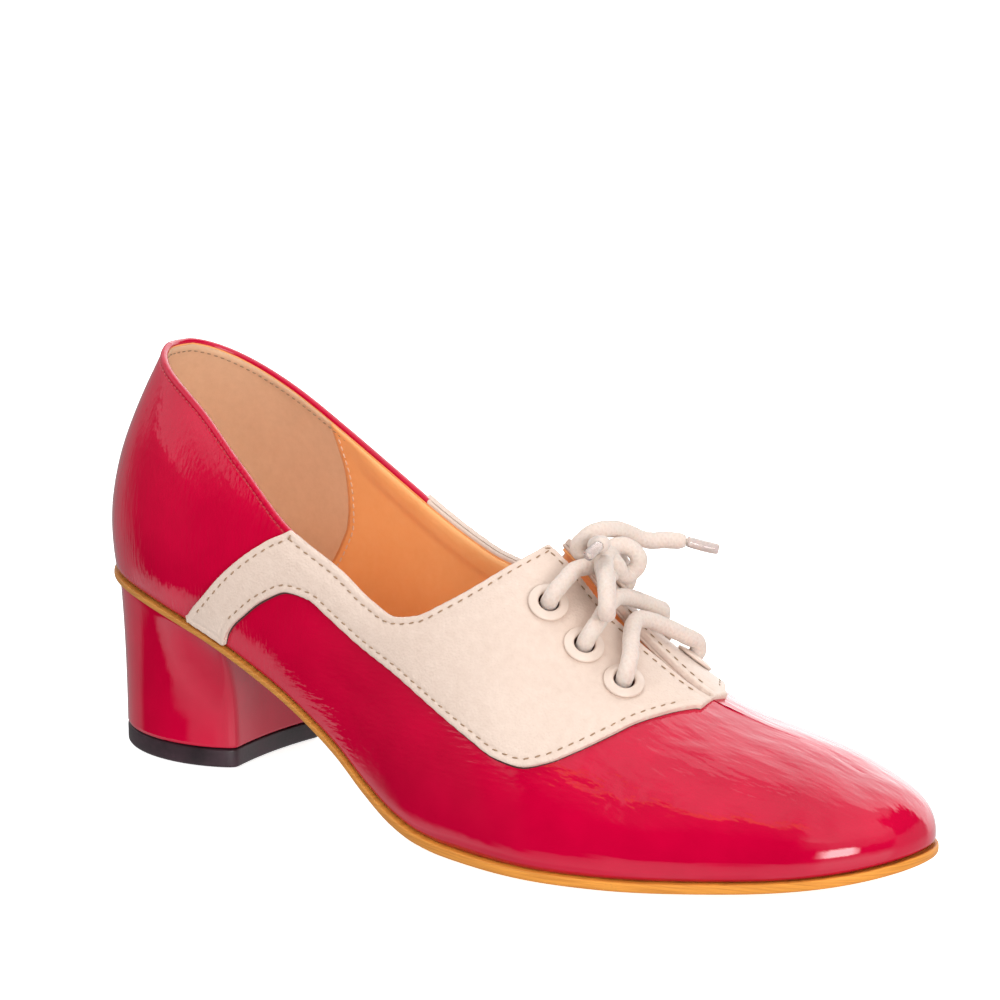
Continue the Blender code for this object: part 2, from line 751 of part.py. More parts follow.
def build_lace(seats):
    """Bars of the two lower rows, the runs to the knot and the free ends."""
    pieces = [build_bar(row, seats) for row in (2, 3)]
    for side, to_knot in RUN_TO_KNOT.items():
        run = [np.array(p) for p in to_knot]
        route = out_of_eyelet(seats[f"eyelet_{side}_1"], run[0]) + run
        pieces.append(build_tube(f"lace_run_{side}", route, LACE))
    return pieces + [build_tube(name, route, LACE) for name, route in END_ROUTES.items()]


def main():
    for obj in list(bpy.data.objects):
        bpy.data.objects.remove(obj, do_unlink=True)
    parts = bpy.data.collections.new("lace_up_shoe")
    cutters = bpy.data.collections.new("cutters")
    joiners = bpy.data.collections.new("joined_shapes")
    for collection in (parts, cutters, joiners):
        bpy.context.scene.collection.children.link(collection)
    shoe = bpy.data.objects.new("shoe", None)
    shoe.location = (-CENTRE_X * MM, -CENTRE_Y * MM, 0)
    parts.objects.link(shoe)

    patent_red = material("patent_red", (0.50, 0.004, 0.035), 0.12)
    patent_heel = material("patent_heel", (0.50, 0.004, 0.035), 0.14)
    pale_leather = material("pale_leather", (0.83, 0.68, 0.58), 0.45)
    tan_leather = material("tan_leather", (0.62, 0.30, 0.09), 0.5)
    sock_leather = material("sock_leather", (0.80, 0.40, 0.16), 0.55)
    dark_rubber = material("dark_rubber", (0.02, 0.018, 0.018), 0.6)
    enamel = material("enamel", (0.86, 0.80, 0.76), 0.2)
    cotton = material("cotton", (0.85, 0.74, 0.65), 0.9)
    clear_tip = material("clear_tip", (0.80, 0.74, 0.74), 0.15)

    seats = eyelet_seats()
    for name, seat in seats.items():
        place(build_hole(name + "_hole", seat), cutters, shoe)

    upper = place(build_upper(), parts, shoe, patent_red)
    saddles = [place(build_saddle(f"saddle_{name}", side), parts, shoe, pale_leather)
               for name, side in (("lateral", -1), ("medial", 1))]
    for leather in (upper, *saddles):
        cut(leather, cutters)

    outsole = plate("outsole", SOLE_MARGIN, sole_under, sole_top)
    place(outsole, parts, shoe, tan_leather)
    insole = plate("insole", -WALL - 2 * GAP, lambda x, y: sole_top(x, y) + GAP,
                   lambda x, y: sole_top(x, y) + GAP + INSOLE_THICK)
    place(insole, parts, shoe, sock_leather)
    place(build_heel(), parts, shoe, patent_heel)
    place(build_top_lift(), parts, shoe, dark_rubber)

    for name, seat in seats.items():
        place(build_eyelet(name, seat), parts, shoe, enamel)
    for piece in (*build_lace(seats), build_bow(joiners, shoe)):
        place(piece, parts, shoe, cotton)
    for name, route in LACE_TIPS.items():
        place(build_tube(name, route, TIP), parts, shoe, clear_tip)


main()
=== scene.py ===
"""Looks of the lace-up court shoe: patent upper, pale saddle, linings, lace, heel and sole.

Sizes and tables are in millimetres in the frame of the last: +X from the heel back to the toe,
-Y the outer (lateral) side, z = 0 the floor. world() turns them into metres in the CAD frame.
"""
import json
import math

import bmesh
import bpy
import numpy as np
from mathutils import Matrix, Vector

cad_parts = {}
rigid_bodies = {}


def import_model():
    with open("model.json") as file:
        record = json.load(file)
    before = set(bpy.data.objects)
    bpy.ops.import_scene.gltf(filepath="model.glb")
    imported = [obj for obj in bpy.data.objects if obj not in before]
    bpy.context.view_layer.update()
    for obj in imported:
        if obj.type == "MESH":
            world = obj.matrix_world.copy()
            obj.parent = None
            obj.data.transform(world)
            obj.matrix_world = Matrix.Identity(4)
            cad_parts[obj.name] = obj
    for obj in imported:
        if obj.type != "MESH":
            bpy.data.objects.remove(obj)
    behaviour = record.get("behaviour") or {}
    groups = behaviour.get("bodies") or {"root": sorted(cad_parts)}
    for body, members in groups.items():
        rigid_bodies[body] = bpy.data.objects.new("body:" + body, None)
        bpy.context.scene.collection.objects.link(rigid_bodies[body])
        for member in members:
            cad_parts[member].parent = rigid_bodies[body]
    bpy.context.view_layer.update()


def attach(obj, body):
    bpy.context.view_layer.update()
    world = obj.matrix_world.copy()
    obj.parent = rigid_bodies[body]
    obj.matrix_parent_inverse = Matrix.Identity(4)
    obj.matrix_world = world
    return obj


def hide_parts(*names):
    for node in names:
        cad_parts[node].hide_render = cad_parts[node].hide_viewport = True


for leftover in list(bpy.data.objects):
    bpy.data.objects.remove(leftover, do_unlink=True)
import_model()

MM = 0.001
CENTRE = np.array([121.7, -4.5, 0.0])

# Driving sizes, as in the solids
LENGTH = 243.5
WALL = 1.6
GAP = 0.3
SOLE_THIN = 1.6
SOLE_THICK = 2.4
SOLE_STEP_START = 0.35
SOLE_STEP_END = 0.50
SOLE_MARGIN = 0.8
TOE_SPRING = 8.3
TOE_SPRING_START = 0.74
FLEX_SKEW = 0.12
TIP_OFFSET = 2.0
INSOLE_THICK = 2.0
SADDLE_THICK = 1.2
HEEL_PIVOT = 30.0
TOE_PIVOT = 229.0
PIVOT_ROUND = 16.0
THROAT_X = 186.0
CORNER_X = 141.5
SLIT_HALF_TOP = 3.8
SLIT_HALF_LOW = 0.6
SLIT_BACK_X = 121.5
TOP_LIFT_THICK = 5.0
HEEL_BACK = 2.6
HEEL_BREAST = 50.3
HEEL_WIDEST = 31.5
HEEL_HALF_WIDTH = 23.1
HEEL_TOP_BACK = 0.8
HEEL_TOP_BREAST = 53.0
HEEL_SEAT_INSET = 0.7
HEEL_FLARE = 2.6
BREAST_HOLLOW = 1.6
EYELET_ROWS_X = (148.3, 158.8, 170.3)
EYELET_FROM_RIDGE = 15.0
EYELET_BORE = 5.2
EYELET_BARREL = 6.0
EYELET_FLANGE = 10.0
EYELET_DEPTH = 4.0
LACE = 4.2
TIP = 2.8
BAR_OVER_RIDGE = 3.8
BAR_DRAWN_BACK = {2: 1.5, 3: 7.0}


def table(columns, rows):
    """A short table as one array for each named column."""
    return dict(zip(columns.split(), np.array(rows, float).T))


PLAN = table("f lateral medial", [
    (0.05, 19.0, 18.0), (0.12, 25.5, 24.0), (0.20, 27.5, 25.5), (0.30, 27.5, 24.0),
    (0.40, 30.5, 22.5), (0.50, 38.0, 25.0), (0.58, 42.5, 29.5), (0.66, 43.8, 33.5),
    (0.74, 39.3, 35.0), (0.82, 31.5, 33.0), (0.89, 25.5, 28.5), (0.95, 18.5, 21.0),
])
SHANK = table("f z", [
    (0.00, 46.4), (0.10, 43.6), (0.20, 38.0), (0.30, 27.8), (0.40, 14.8), (0.45, 7.6),
    (0.50, 2.6), (0.54, 0.6), (0.58, 0.0), (0.74, 0.0),
])
RIDGE = table("f z y", [
    (0.00, 152.0, 0.0), (0.10, 142.0, 0.0), (0.20, 128.0, 0.0), (0.31, 110.0, 0.0),
    (0.40, 96.0, 0.0), (0.48, 85.0, 0.0), (0.576, 72.0, 0.0), (0.604, 66.5, 0.0),
    (0.64, 57.5, 0.0), (0.70, 46.1, 0.4), (0.755, 38.0, 1.2), (0.80, 34.6, 1.8),
    (0.88, 30.6, 2.0), (0.93, 26.2, 2.0), (1.00, 19.0, 2.0),
])
SECTION = table("f lean low high fall", [
    (0.00, 9.0, 0.36, 1.50, 66.0), (0.15, 12.0, 0.36, 1.50, 60.0), (0.30, 9.0, 0.38, 1.20, 48.0),
    (0.45, 6.0, 0.42, 0.80, 32.0), (0.58, 6.0, 0.45, 0.60, 20.0), (0.66, 8.0, 0.45, 0.58, 14.0),
    (0.75, 10.0, 0.52, 0.55, 6.0), (0.90, 10.0, 0.60, 0.52, 3.0), (1.00, 8.0, 0.66, 0.58, 10.0),
])
COLLAR = table("x lateral medial", [
    (18.0, 109.0, 109.0), (42.0, 96.0, 97.0), (58.0, 83.6, 87.5), (76.0, 69.2, 77.5),
    (92.5, 61.2, 68.7), (103.5, 55.4, 63.3), (112.0, 52.9, 59.8), (119.0, 54.0, 58.5),
    (124.5, 57.0, 59.5), (130.5, 61.0, 61.8), (136.0, 65.7, 65.7), (141.5, 71.0, 71.0),
    (148.0, 82.0, 82.0),
])
SADDLE_LOW = table("x z", [
    (56.0, 35.0), (58.0, 40.2), (64.0, 46.2), (70.5, 51.0), (78.0, 54.0), (85.0, 53.0),
    (91.5, 49.8), (102.5, 44.8), (117.5, 39.8), (129.0, 35.4), (143.0, 30.0), (152.0, 26.6),
    (158.0, 25.7), (163.5, 27.0), (170.0, 30.2), (174.9, 33.2), (177.7, 35.0), (180.6, 36.0),
    (183.2, 36.5), (185.5, 36.6), (187.5, 36.2),
])
SADDLE_REAR = table("x z", [
    (43.0, 40.6), (44.5, 43.0), (51.0, 49.6), (57.5, 56.2), (65.0, 62.4), (70.5, 66.0),
    (76.0, 69.0), (80.0, 76.0),
])
SADDLE_REAR_MEDIAL = table("x z", [
    (43.0, 40.6), (44.6, 43.0), (53.0, 49.6), (61.5, 56.4), (71.0, 63.2), (79.0, 68.0),
    (87.0, 72.2), (91.0, 79.0),
])
SADDLE_START_X = 44.2
SADDLE_END_X = 186.6
STRAP_FOOT = 0.012
STRAP_ROUND = 2.0
SADDLE_TIP = 0.02

# Free lace, laid as in the solids: run to the knot, loop, end and tip of each half
RUN_TO_KNOT = {
    "lateral": [(151.4, -8.6, 66.2), (151.8, -6.4, 66.6)],
    "medial": [(151.8, 9.6, 66.4), (152.0, 6.4, 66.8)],
}
THROUGH_KNOT = {
    "lateral": [(153.6, -3.0, 66.8)],
    "medial": [
        (154.2, 3.0, 66.6), (155.2, 2.6, 68.4), (155.8, -0.4, 69.3), (156.4, -3.2, 68.2),
        (156.8, -3.6, 66.0), (156.8, -1.4, 64.6), (156.4, 1.4, 65.2),
    ],
}
LOOPS = {
    "lateral": [
        (156.3, -2.4, 67.8), (159.7, -7.4, 68.0), (163.0, -11.8, 66.4), (165.2, -14.6, 63.6),
        (166.4, -16.2, 61.2), (165.6, -15.0, 59.1), (163.9, -12.4, 59.8), (162.9, -10.8, 62.3),
        (160.9, -8.0, 64.9), (157.8, -4.2, 66.4), (155.7, -1.5, 66.8),
    ],
    "medial": [
        (154.9, 0.6, 67.8), (154.8, 2.5, 70.0), (156.1, 4.5, 70.8), (158.3, 6.0, 70.1),
        (160.0, 6.6, 68.3), (160.4, 6.4, 66.3), (159.5, 5.6, 64.6), (158.4, 4.2, 63.7),
        (157.7, 2.4, 64.6), (157.9, 1.2, 66.2), (157.1, 0.4, 67.6), (155.2, 0.2, 67.7),
    ],
}
BACK_OUT = {
    "lateral": [(155.2, -0.8, 69.2)],
    "medial": [(153.6, 0.6, 67.2)],
}
ENDS = {
    "lateral": [(154.6, -3.6, 72.0), (158.8, -7.2, 73.7), (159.7, -9.6, 74.0)],
    "medial": [
        (149.8, -0.3, 68.4), (148.9, -1.0, 68.7), (148.4, -1.9, 69.7), (148.5, -2.2, 71.1),
        (149.3, -1.6, 72.2), (150.6, 0.4, 73.9), (152.1, 3.4, 74.4), (153.3, 6.8, 74.0),
        (154.6, 10.2, 72.7), (156.0, 13.4, 70.9), (157.9, 16.0, 70.0), (159.9, 18.4, 70.0),
        (162.2, 20.2, 69.8), (164.3, 21.6, 69.7),
    ],
}
TIPS = {
    "lateral": [(159.8, -10.0, 73.9), (160.1, -12.8, 73.3), (160.3, -15.4, 72.5)],
    "medial": [(164.6, 21.9, 69.6), (167.6, 24.2, 68.5), (170.9, 26.4, 67.6)],
}

# Looks
COUNTER_SEAM = table("q x", [
    (0.0, 54.2), (0.09, 54.7), (0.30, 56.1), (0.57, 55.3), (0.73, 52.5), (1.0, 46.0),
])
RED_COLLAR_END = {-1: 77.0, 1: 87.5}
CREASES = [
    # start, end, half width, depth
    ((179.7, -21.4, 32.9), (195.6, -11.4, 31.6), 1.3, 0.14),
    ((187.0, -6.5, 35.6), (201.8, -3.5, 32.5), 1.2, 0.14),
    ((180.8, -9.4, 37.4), (195.2, -1.9, 34.1), 1.0, -0.10),
    ((174.9, -31.0, 28.4), (195.2, -19.4, 28.0), 1.6, 0.12),
    ((168.8, -38.7, 21.9), (185.6, -30.4, 23.0), 2.2, 0.10),
    ((190.3, -16.2, 31.1), (208.2, -14.1, 27.8), 1.4, -0.08),
    ((188.7, -0.4, 36.1), (208.8, -1.5, 31.6), 1.6, 0.12),
    ((210.6, -9.1, 29.4), (224.7, -10.3, 25.1), 2.0, 0.12),
    ((223.6, -14.0, 23.6), (228.5, -18.5, 17.1), 3.0, 0.24),
    ((226.6, -4.6, 26.0), (236.2, -6.1, 22.0), 2.6, 0.22),
    ((190.0, 14.0, 32.5), (205.0, 20.0, 28.5), 1.6, 0.14),
    ((180.0, 24.0, 30.0), (196.0, 27.0, 25.6), 1.8, 0.14),
    ((14.0, -17.0, 74.0), (38.0, -26.0, 66.0), 4.0, 0.22),
    ((28.0, -22.0, 88.0), (46.0, -26.0, 74.0), 3.0, -0.16),
    ((84.0, -28.0, 38.0), (112.0, -34.0, 30.0), 3.0, 0.16),
]


def unit(vectors):
    """Vectors brought to length 1."""
    return vectors / np.linalg.norm(vectors, axis=-1, keepdims=True)


def run_along(points):
    """Distance travelled at each point of one or more lines."""
    steps = np.linalg.norm(np.diff(points, axis=-2), axis=-1)
    return np.concatenate([np.zeros_like(steps[..., :1]), np.cumsum(steps, axis=-1)], axis=-1)


def along_line(points, run, at):
    """Points at distances along a line whose own points lie at the distances run."""
    return np.stack([np.interp(at, run, points[:, c]) for c in range(3)], -1)


def monotone(x, y, q):
    """Monotone cubic through the points (x, y), read at q."""
    h = np.diff(x)
    s = np.diff(y) / h
    before = 2 * h[1:] + h[:-1]
    after = h[1:] + 2 * h[:-1]
    m = np.concatenate([s[:1], np.zeros(len(s) - 1), s[-1:]])
    rising = s[:-1] * s[1:] > 0
    harmonic = before[rising] / s[:-1][rising] + after[rising] / s[1:][rising]
    m[1:-1][rising] = (before + after)[rising] / harmonic
    i = np.clip(np.searchsorted(x, q) - 1, 0, len(h) - 1)
    t = (q - x[i]) / h[i]
    ends = (1 + 2 * t) * (1 - t) ** 2 * y[i] + t * t * (3 - 2 * t) * y[i + 1]
    return ends + h[i] * t * (1 - t) * ((1 - t) * m[i] - t * m[i + 1])


def read(rows, column, q, key="f"):
    """One column of a table at q, held at the table's ends."""
    x = rows[key]
    return monotone(x, rows[column], np.clip(q, x[0], x[-1]))


def ring_spline(angles, values):
    """Second derivatives of the closed cubic spline through values at angles in one turn."""
    n = len(angles)
    h = np.diff(np.append(angles, angles[0] + 2 * math.pi))
    slope = (np.roll(values, -1) - values) / h
    matrix = np.zeros((n, n))
    for i in range(n):
        matrix[i, i - 1] += h[i - 1]
        matrix[i, i] += 2 * (h[i - 1] + h[i])
        matrix[i, (i + 1) % n] += h[i]
    return h, np.linalg.solve(matrix, 6 * (slope - np.roll(slope, 1)))


RING_SIDE = np.arccos(1 - 2 * PLAN["f"])
RING_ANGLES = np.concatenate([[0.0], RING_SIDE, [math.pi], 2 * math.pi - RING_SIDE[::-1]])
RING_Y = np.concatenate([[0.0], -PLAN["lateral"], [TIP_OFFSET], PLAN["medial"][::-1]])
RING_STEP, RING_BEND = ring_spline(RING_ANGLES, RING_Y)


def feather_y(angle):
    """Y of the feather line at an angle round the shoe: heel back 0, toe tip pi."""
    a = np.mod(angle, 2 * math.pi)
    i = np.searchsorted(RING_ANGLES, a, side="right") - 1
    j = (i + 1) % len(RING_ANGLES)
    h = RING_STEP[i]
    d = a - RING_ANGLES[i]
    slope = (RING_Y[j] - RING_Y[i]) / h - h * (2 * RING_BEND[i] + RING_BEND[j]) / 6
    bend = RING_BEND[i] / 2 + d * (RING_BEND[j] - RING_BEND[i]) / (6 * h)
    return RING_Y[i] + d * (slope + d * bend)


def share_of(angle):
    """Share of the length at an angle round the shoe."""
    return (1 - np.cos(angle)) / 2


def angle_at(x, side):
    """Angle of the feather line at x, on side -1 (lateral) or +1 (medial)."""
    a = np.arccos(np.clip(1 - 2 * np.asarray(x, float) / LENGTH, -1, 1))
    return a if side < 0 else 2 * math.pi - a


def outline(angle, grow):
    """Feather line in plan, grown outwards by grow."""
    step = 1e-4
    dx = LENGTH * (share_of(angle + step) - share_of(angle - step))
    dy = feather_y(angle + step) - feather_y(angle - step)
    length = np.hypot(dx, dy)
    return LENGTH * share_of(angle) + grow * dy / length, feather_y(angle) - grow * dx / length


def sole_under(x, y):
    """Height of the outsole's underside."""
    spring = np.clip((x / LENGTH - TOE_SPRING_START) / (1 - TOE_SPRING_START), 0, None)
    return read(SHANK, "z", (x - FLEX_SKEW * y) / LENGTH) + TOE_SPRING * spring ** 2


def sole_top(x, y):
    """Height of the outsole's upper face."""
    share = np.clip((x / LENGTH - SOLE_STEP_START) / (SOLE_STEP_END - SOLE_STEP_START), 0, 1)
    return sole_under(x, y) + SOLE_THIN + (SOLE_THICK - SOLE_THIN) * share


def ridge_x(x):
    """Where a section starting at x on the feather line ends on the ridge."""
    up = (x + HEEL_PIVOT + np.sqrt((x - HEEL_PIVOT) ** 2 + PIVOT_ROUND ** 2)) / 2
    return (up + TOE_PIVOT - np.sqrt((up - TOE_PIVOT) ** 2 + PIVOT_ROUND ** 2)) / 2


def ridge_y(x):
    return read(RIDGE, "y", x / LENGTH)


def last(angle, t):
    """Point of the last: angle round the shoe, t from the feather line (0) to the ridge (1)."""
    angle, t = np.broadcast_arrays(np.asarray(angle, float), np.asarray(t, float))
    f = share_of(angle)
    x, y = LENGTH * f, feather_y(angle)
    foot = np.stack([x, y, sole_top(x, y) + GAP], -1)
    g = ridge_x(x) / LENGTH
    top = np.stack([g * LENGTH, read(RIDGE, "y", g), read(RIDGE, "z", g)], -1)
    across = foot - top
    across[..., 2] = 0
    reach = np.linalg.norm(across, axis=-1, keepdims=True)
    across = across / reach
    up = np.array([0.0, 0.0, 1.0])
    rise = (top - foot)[..., 2:]
    lean = np.radians(read(SECTION, "lean", f))[..., None]
    fall = np.radians(read(SECTION, "fall", f))[..., None]
    low = read(SECTION, "low", f)[..., None] * rise
    high = read(SECTION, "high", f)[..., None] * reach
    handle_1 = foot + low * (across * np.sin(lean) + up * np.cos(lean))
    handle_2 = top + high * (across * np.cos(fall) - up * np.sin(fall))
    t = t[..., None]
    s = 1 - t
    return s ** 3 * foot + 3 * s * s * t * handle_1 + 3 * s * t * t * handle_2 + t ** 3 * top


def last_normal(angle, t):
    """Outward unit normal of the last."""
    step = 1e-3
    inside = np.clip(t, step, 1 - step)
    along = last(angle + step, inside) - last(angle - step, inside)
    upward = last(angle, inside + step) - last(angle, inside - step)
    return unit(np.cross(along, upward))


def skin(angle, t, proud):
    """Surface that lies proud of the last."""
    return last(angle, t) + np.asarray(proud)[..., None] * last_normal(angle, t)


def first_t(angle, inside):
    """Largest t whose point still satisfies inside, found by halving."""
    low = np.zeros_like(angle)
    high = np.ones_like(angle)
    for _ in range(32):
        middle = (low + high) / 2
        keep = inside(last(angle, middle))
        low = np.where(keep, middle, low)
        high = np.where(keep, high, middle)
    return low


def below_collar(side_name):
    return lambda p: p[..., 2] < read(COLLAR, side_name, p[..., 0], "x")


def beside_slit(p):
    share = np.clip((THROAT_X - p[..., 0]) / (THROAT_X - CORNER_X), 0, 2)
    half = SLIT_HALF_LOW + (SLIT_HALF_TOP - SLIT_HALF_LOW) * share
    ahead = p[..., 0] > SLIT_BACK_X
    return ~ahead | (np.abs(p[..., 1] - ridge_y(p[..., 0])) > half)


def side_of(angle):
    return np.where(np.mod(angle, 2 * math.pi) <= math.pi, -1, 1)


def edge_t(angle):
    """Where each section of the upper stops: collar, facing, or the closed ridge of the vamp."""
    lateral = first_t(angle, below_collar("lateral"))
    medial = first_t(angle, below_collar("medial"))
    collar = np.where(side_of(angle) < 0, lateral, medial)
    edge = np.minimum(collar, first_t(angle, beside_slit))
    return np.where(LENGTH * share_of(angle) >= THROAT_X - 0.01, 1.0, edge)


def smoothstep(low, high, q):
    s = np.clip((q - low) / (high - low), 0, 1)
    return s * s * (3 - 2 * s)


class Sections:
    """Sections of the last up to the top edge, read by the distance below that edge."""

    def __init__(self, angles, samples=121):
        self.angles = angles
        self.edge = edge_t(angles)
        self.t = np.linspace(0, 1, samples) * self.edge[:, None]
        self.run = run_along(last(angles[:, None], self.t))
        self.height = self.run[:, -1]

    def below(self, distance):
        """t at each distance below the edge; distance has one row for each section."""
        columns = zip(self.height, distance, self.run, self.t)
        return np.array([np.interp(h - d, r, t) for h, d, r, t in columns])


def world(points):
    return (np.asarray(points, float) - CENTRE) * MM


def quads(rows, columns, wrap_rows=False, wrap_columns=False):
    """Faces of a grid of points, one list of four for each cell."""
    i, j = np.meshgrid(np.arange(rows if wrap_rows else rows - 1),
                       np.arange(columns if wrap_columns else columns - 1), indexing="ij")
    k, m = (i + 1) % rows, (j + 1) % columns
    return np.stack([i * columns + j, k * columns + j, k * columns + m, i * columns + m], -1)


def tubed(grid):
    """Faces of a grid of points that closes on itself along its rows."""
    return quads(*grid.shape[:2], wrap_columns=True).reshape(-1, 4)


def piece(name, points, faces, mats, stands_for=(), indices=None, weld=0.002, sharp=None):
    """A mesh piece from points in millimetres, welded, with its holes closed, riding the shoe."""
    mesh = bpy.data.meshes.new(name)
    mesh.from_pydata(world(points).tolist(), [], [list(map(int, f)) for f in faces])
    if indices is not None:
        mesh.polygons.foreach_set("material_index", np.asarray(indices, np.int32))
    shape = bmesh.new()
    shape.from_mesh(mesh)
    bmesh.ops.remove_doubles(shape, verts=shape.verts, dist=weld * MM)
    bmesh.ops.dissolve_degenerate(shape, edges=shape.edges, dist=weld * MM / 4)
    rims = [e for e in shape.edges if e.is_boundary]
    if rims:
        bmesh.ops.holes_fill(shape, edges=rims, sides=0)
    bmesh.ops.recalc_face_normals(shape, faces=shape.faces)
    shape.to_mesh(mesh)
    shape.free()
    mesh.shade_smooth()
    if sharp:
        mesh.set_sharp_from_angle(angle=math.radians(sharp))
    obj = bpy.data.objects.new(name, mesh)
    for mat in mats:
        mesh.materials.append(mat)
    bpy.context.scene.collection.objects.link(obj)
    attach(obj, "root")
    if stands_for:
        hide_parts(*stands_for)
    return obj


def carve(obj, cutters):
    """Cuts the joined cutters out of a piece for good."""
    holes = obj.modifiers.new("holes", "BOOLEAN")
    holes.operation = "DIFFERENCE"
    holes.object = cutters
    graph = bpy.context.evaluated_depsgraph_get()
    obj_cut = obj.evaluated_get(graph)
    cut = bpy.data.meshes.new_from_object(obj_cut, preserve_all_data_layers=True, depsgraph=graph)
    obj.modifiers.clear()
    obj.data = cut


# Materials


class Nodes:
    """Helpers that add nodes to the tree of a material or the world."""

    def __init__(self, tree):
        self.tree = tree

    def node(self, kind, **props):
        made = self.tree.nodes.new(kind)
        for key, value in props.items():
            setattr(made, key, value)
        return made

    def link(self, source, target):
        self.tree.links.new(source, target)

    def feed(self, socket, value):
        """Sets a socket to a colour or number, or links it to another node's output."""
        if isinstance(value, tuple):
            socket.default_value = (*value, 1.0)
        elif isinstance(value, (int, float)):
            socket.default_value = value
        else:
            self.link(value, socket)

    def split(self, vector):
        parts = self.node("ShaderNodeSeparateXYZ")
        self.link(vector, parts.inputs[0])
        return parts.outputs

    def math(self, operation, a, b=0.0, c=0.0):
        made = self.node("ShaderNodeMath", operation=operation)
        for socket, value in zip(made.inputs, (a, b, c)):
            self.feed(socket, value)
        return made.outputs[0]

    def rising(self, value, low, high):
        """0 below low, 1 above high and smooth between."""
        made = self.node("ShaderNodeMapRange", interpolation_type="SMOOTHSTEP")
        made.inputs["From Min"].default_value = low
        made.inputs["From Max"].default_value = high
        self.link(value, made.inputs["Value"])
        return made.outputs["Result"]

    def ramp(self, value, stops):
        made = self.node("ShaderNodeValToRGB")
        elements = made.color_ramp.elements
        while len(elements) < len(stops):
            elements.new(0.5)
        for element, (at, shade) in zip(elements, stops):
            element.position = at
            element.color = (*(shade if isinstance(shade, tuple) else (shade,) * 3), 1.0)
        self.link(value, made.inputs["Fac"])
        return made.outputs["Color"]

    def mix(self, factor, a, b):
        made = self.node("ShaderNodeMix", data_type="RGBA")
        for socket, value in ((made.inputs["Factor"], factor), (made.inputs[6], a), (made.inputs[7], b)):
            self.feed(socket, value)
        return made.outputs[2]


class Paint(Nodes):
    """One node material with a Principled shader and helpers for its textures."""

    def __init__(self, name, **sockets):
        self.mat = bpy.data.materials.new(name)
        self.mat.use_nodes = True
        super().__init__(self.mat.node_tree)
        self.bsdf = self.tree.nodes["Principled BSDF"]
        for key, value in sockets.items():
            self.bsdf.inputs[key.replace("_", " ")].default_value = value
        self.place = self.node("ShaderNodeTexCoord").outputs["Object"]

    def noise(self, scale, detail=3.0, rough=0.55, vector=None):
        tex = self.node("ShaderNodeTexNoise")
        tex.inputs["Scale"].default_value = scale
        tex.inputs["Detail"].default_value = detail
        tex.inputs["Roughness"].default_value = rough
        self.link(vector or self.place, tex.inputs["Vector"])
        return tex.outputs["Fac"]

    def stretched(self, scales, detail, rough):
        """Noise with a scale of its own on each axis."""
        mapping = self.node("ShaderNodeMapping")
        mapping.inputs["Scale"].default_value = scales
        self.link(self.place, mapping.inputs["Vector"])
        return self.noise(1.0, detail, rough, mapping.outputs["Vector"])

    def cells(self, scale):
        tex = self.node("ShaderNodeTexVoronoi", feature="F1")
        tex.inputs["Scale"].default_value = scale
        self.link(self.place, tex.inputs["Vector"])
        return tex.outputs["Distance"]

    def colour(self, socket):
        self.link(socket, self.bsdf.inputs["Base Color"])

    def tone(self, pattern, dark, light, low=0.3, high=0.7):
        """Base colour from dark to light over the pattern's values low to high."""
        self.colour(self.ramp(pattern, [(low, dark), (high, light)]))

    def rough(self, pattern, span, least):
        self.link(self.math("MULTIPLY_ADD", pattern, span, least), self.bsdf.inputs["Roughness"])

    def relief(self, *layers, coat=False):
        """Bumps laid over each other, each a height of 0 to 1 and its depth in metres."""
        normal = None
        for height, depth in layers:
            made = self.node("ShaderNodeBump")
            made.inputs["Strength"].default_value = 1.0
            made.inputs["Distance"].default_value = depth
            self.link(height, made.inputs["Height"])
            if normal is not None:
                self.link(normal, made.inputs["Normal"])
            normal = made.outputs["Normal"]
        for name in ("Normal", "Coat Normal")[:2 if coat else 1]:
            self.link(normal, self.bsdf.inputs[name])


LEVEL = (0.5, 0.5, 0.5)
RIPPLE_OVER_WRINKLE = 4.5


def patent(name, wrinkle_depth):
    """Red patent: a clear coat over dyed leather, with orange peel and fine stretched wrinkles.

    The wrinkles run upright at the counter and lengthwise ahead of it. Broader ripples lie on
    the forepart, and both fade out just above the sole.
    """
    p = Paint(name, Roughness=0.35, Specular_IOR_Level=0.0, Coat_Weight=1.0, Coat_Roughness=0.02,
              Coat_IOR=1.5)
    p.tone(p.noise(55.0, 4.0, 0.6), (0.46, 0.0003, 0.027), (0.57, 0.0008, 0.036), 0.25, 0.75)
    p.rough(p.noise(400.0), 0.16, 0.26)
    x, _, z = p.split(p.place)
    lengthwise = p.stretched((230.0, 1150.0, 900.0), 2.0, 0.35)
    upright = p.stretched((1150.0, 1150.0, 220.0), 2.0, 0.35)
    clear = p.rising(z, 0.010, 0.026)
    forepart = p.math("MULTIPLY", clear, p.rising(x, 0.02, 0.06))
    streak = p.mix(clear, LEVEL, p.mix(p.rising(x, -0.060, -0.020), upright, lengthwise))
    ripple = p.mix(forepart, LEVEL, p.stretched((80.0, 300.0, 240.0), 1.0, 0.4))
    swell = p.noise(95.0, 2.0, 0.5)
    peel = p.noise(1500.0, 2.0, 0.5)
    p.relief((swell, 0.00007), (ripple, RIPPLE_OVER_WRINKLE * wrinkle_depth), (streak, wrinkle_depth),
             (peel, 0.0000025), coat=True)
    return p.mat


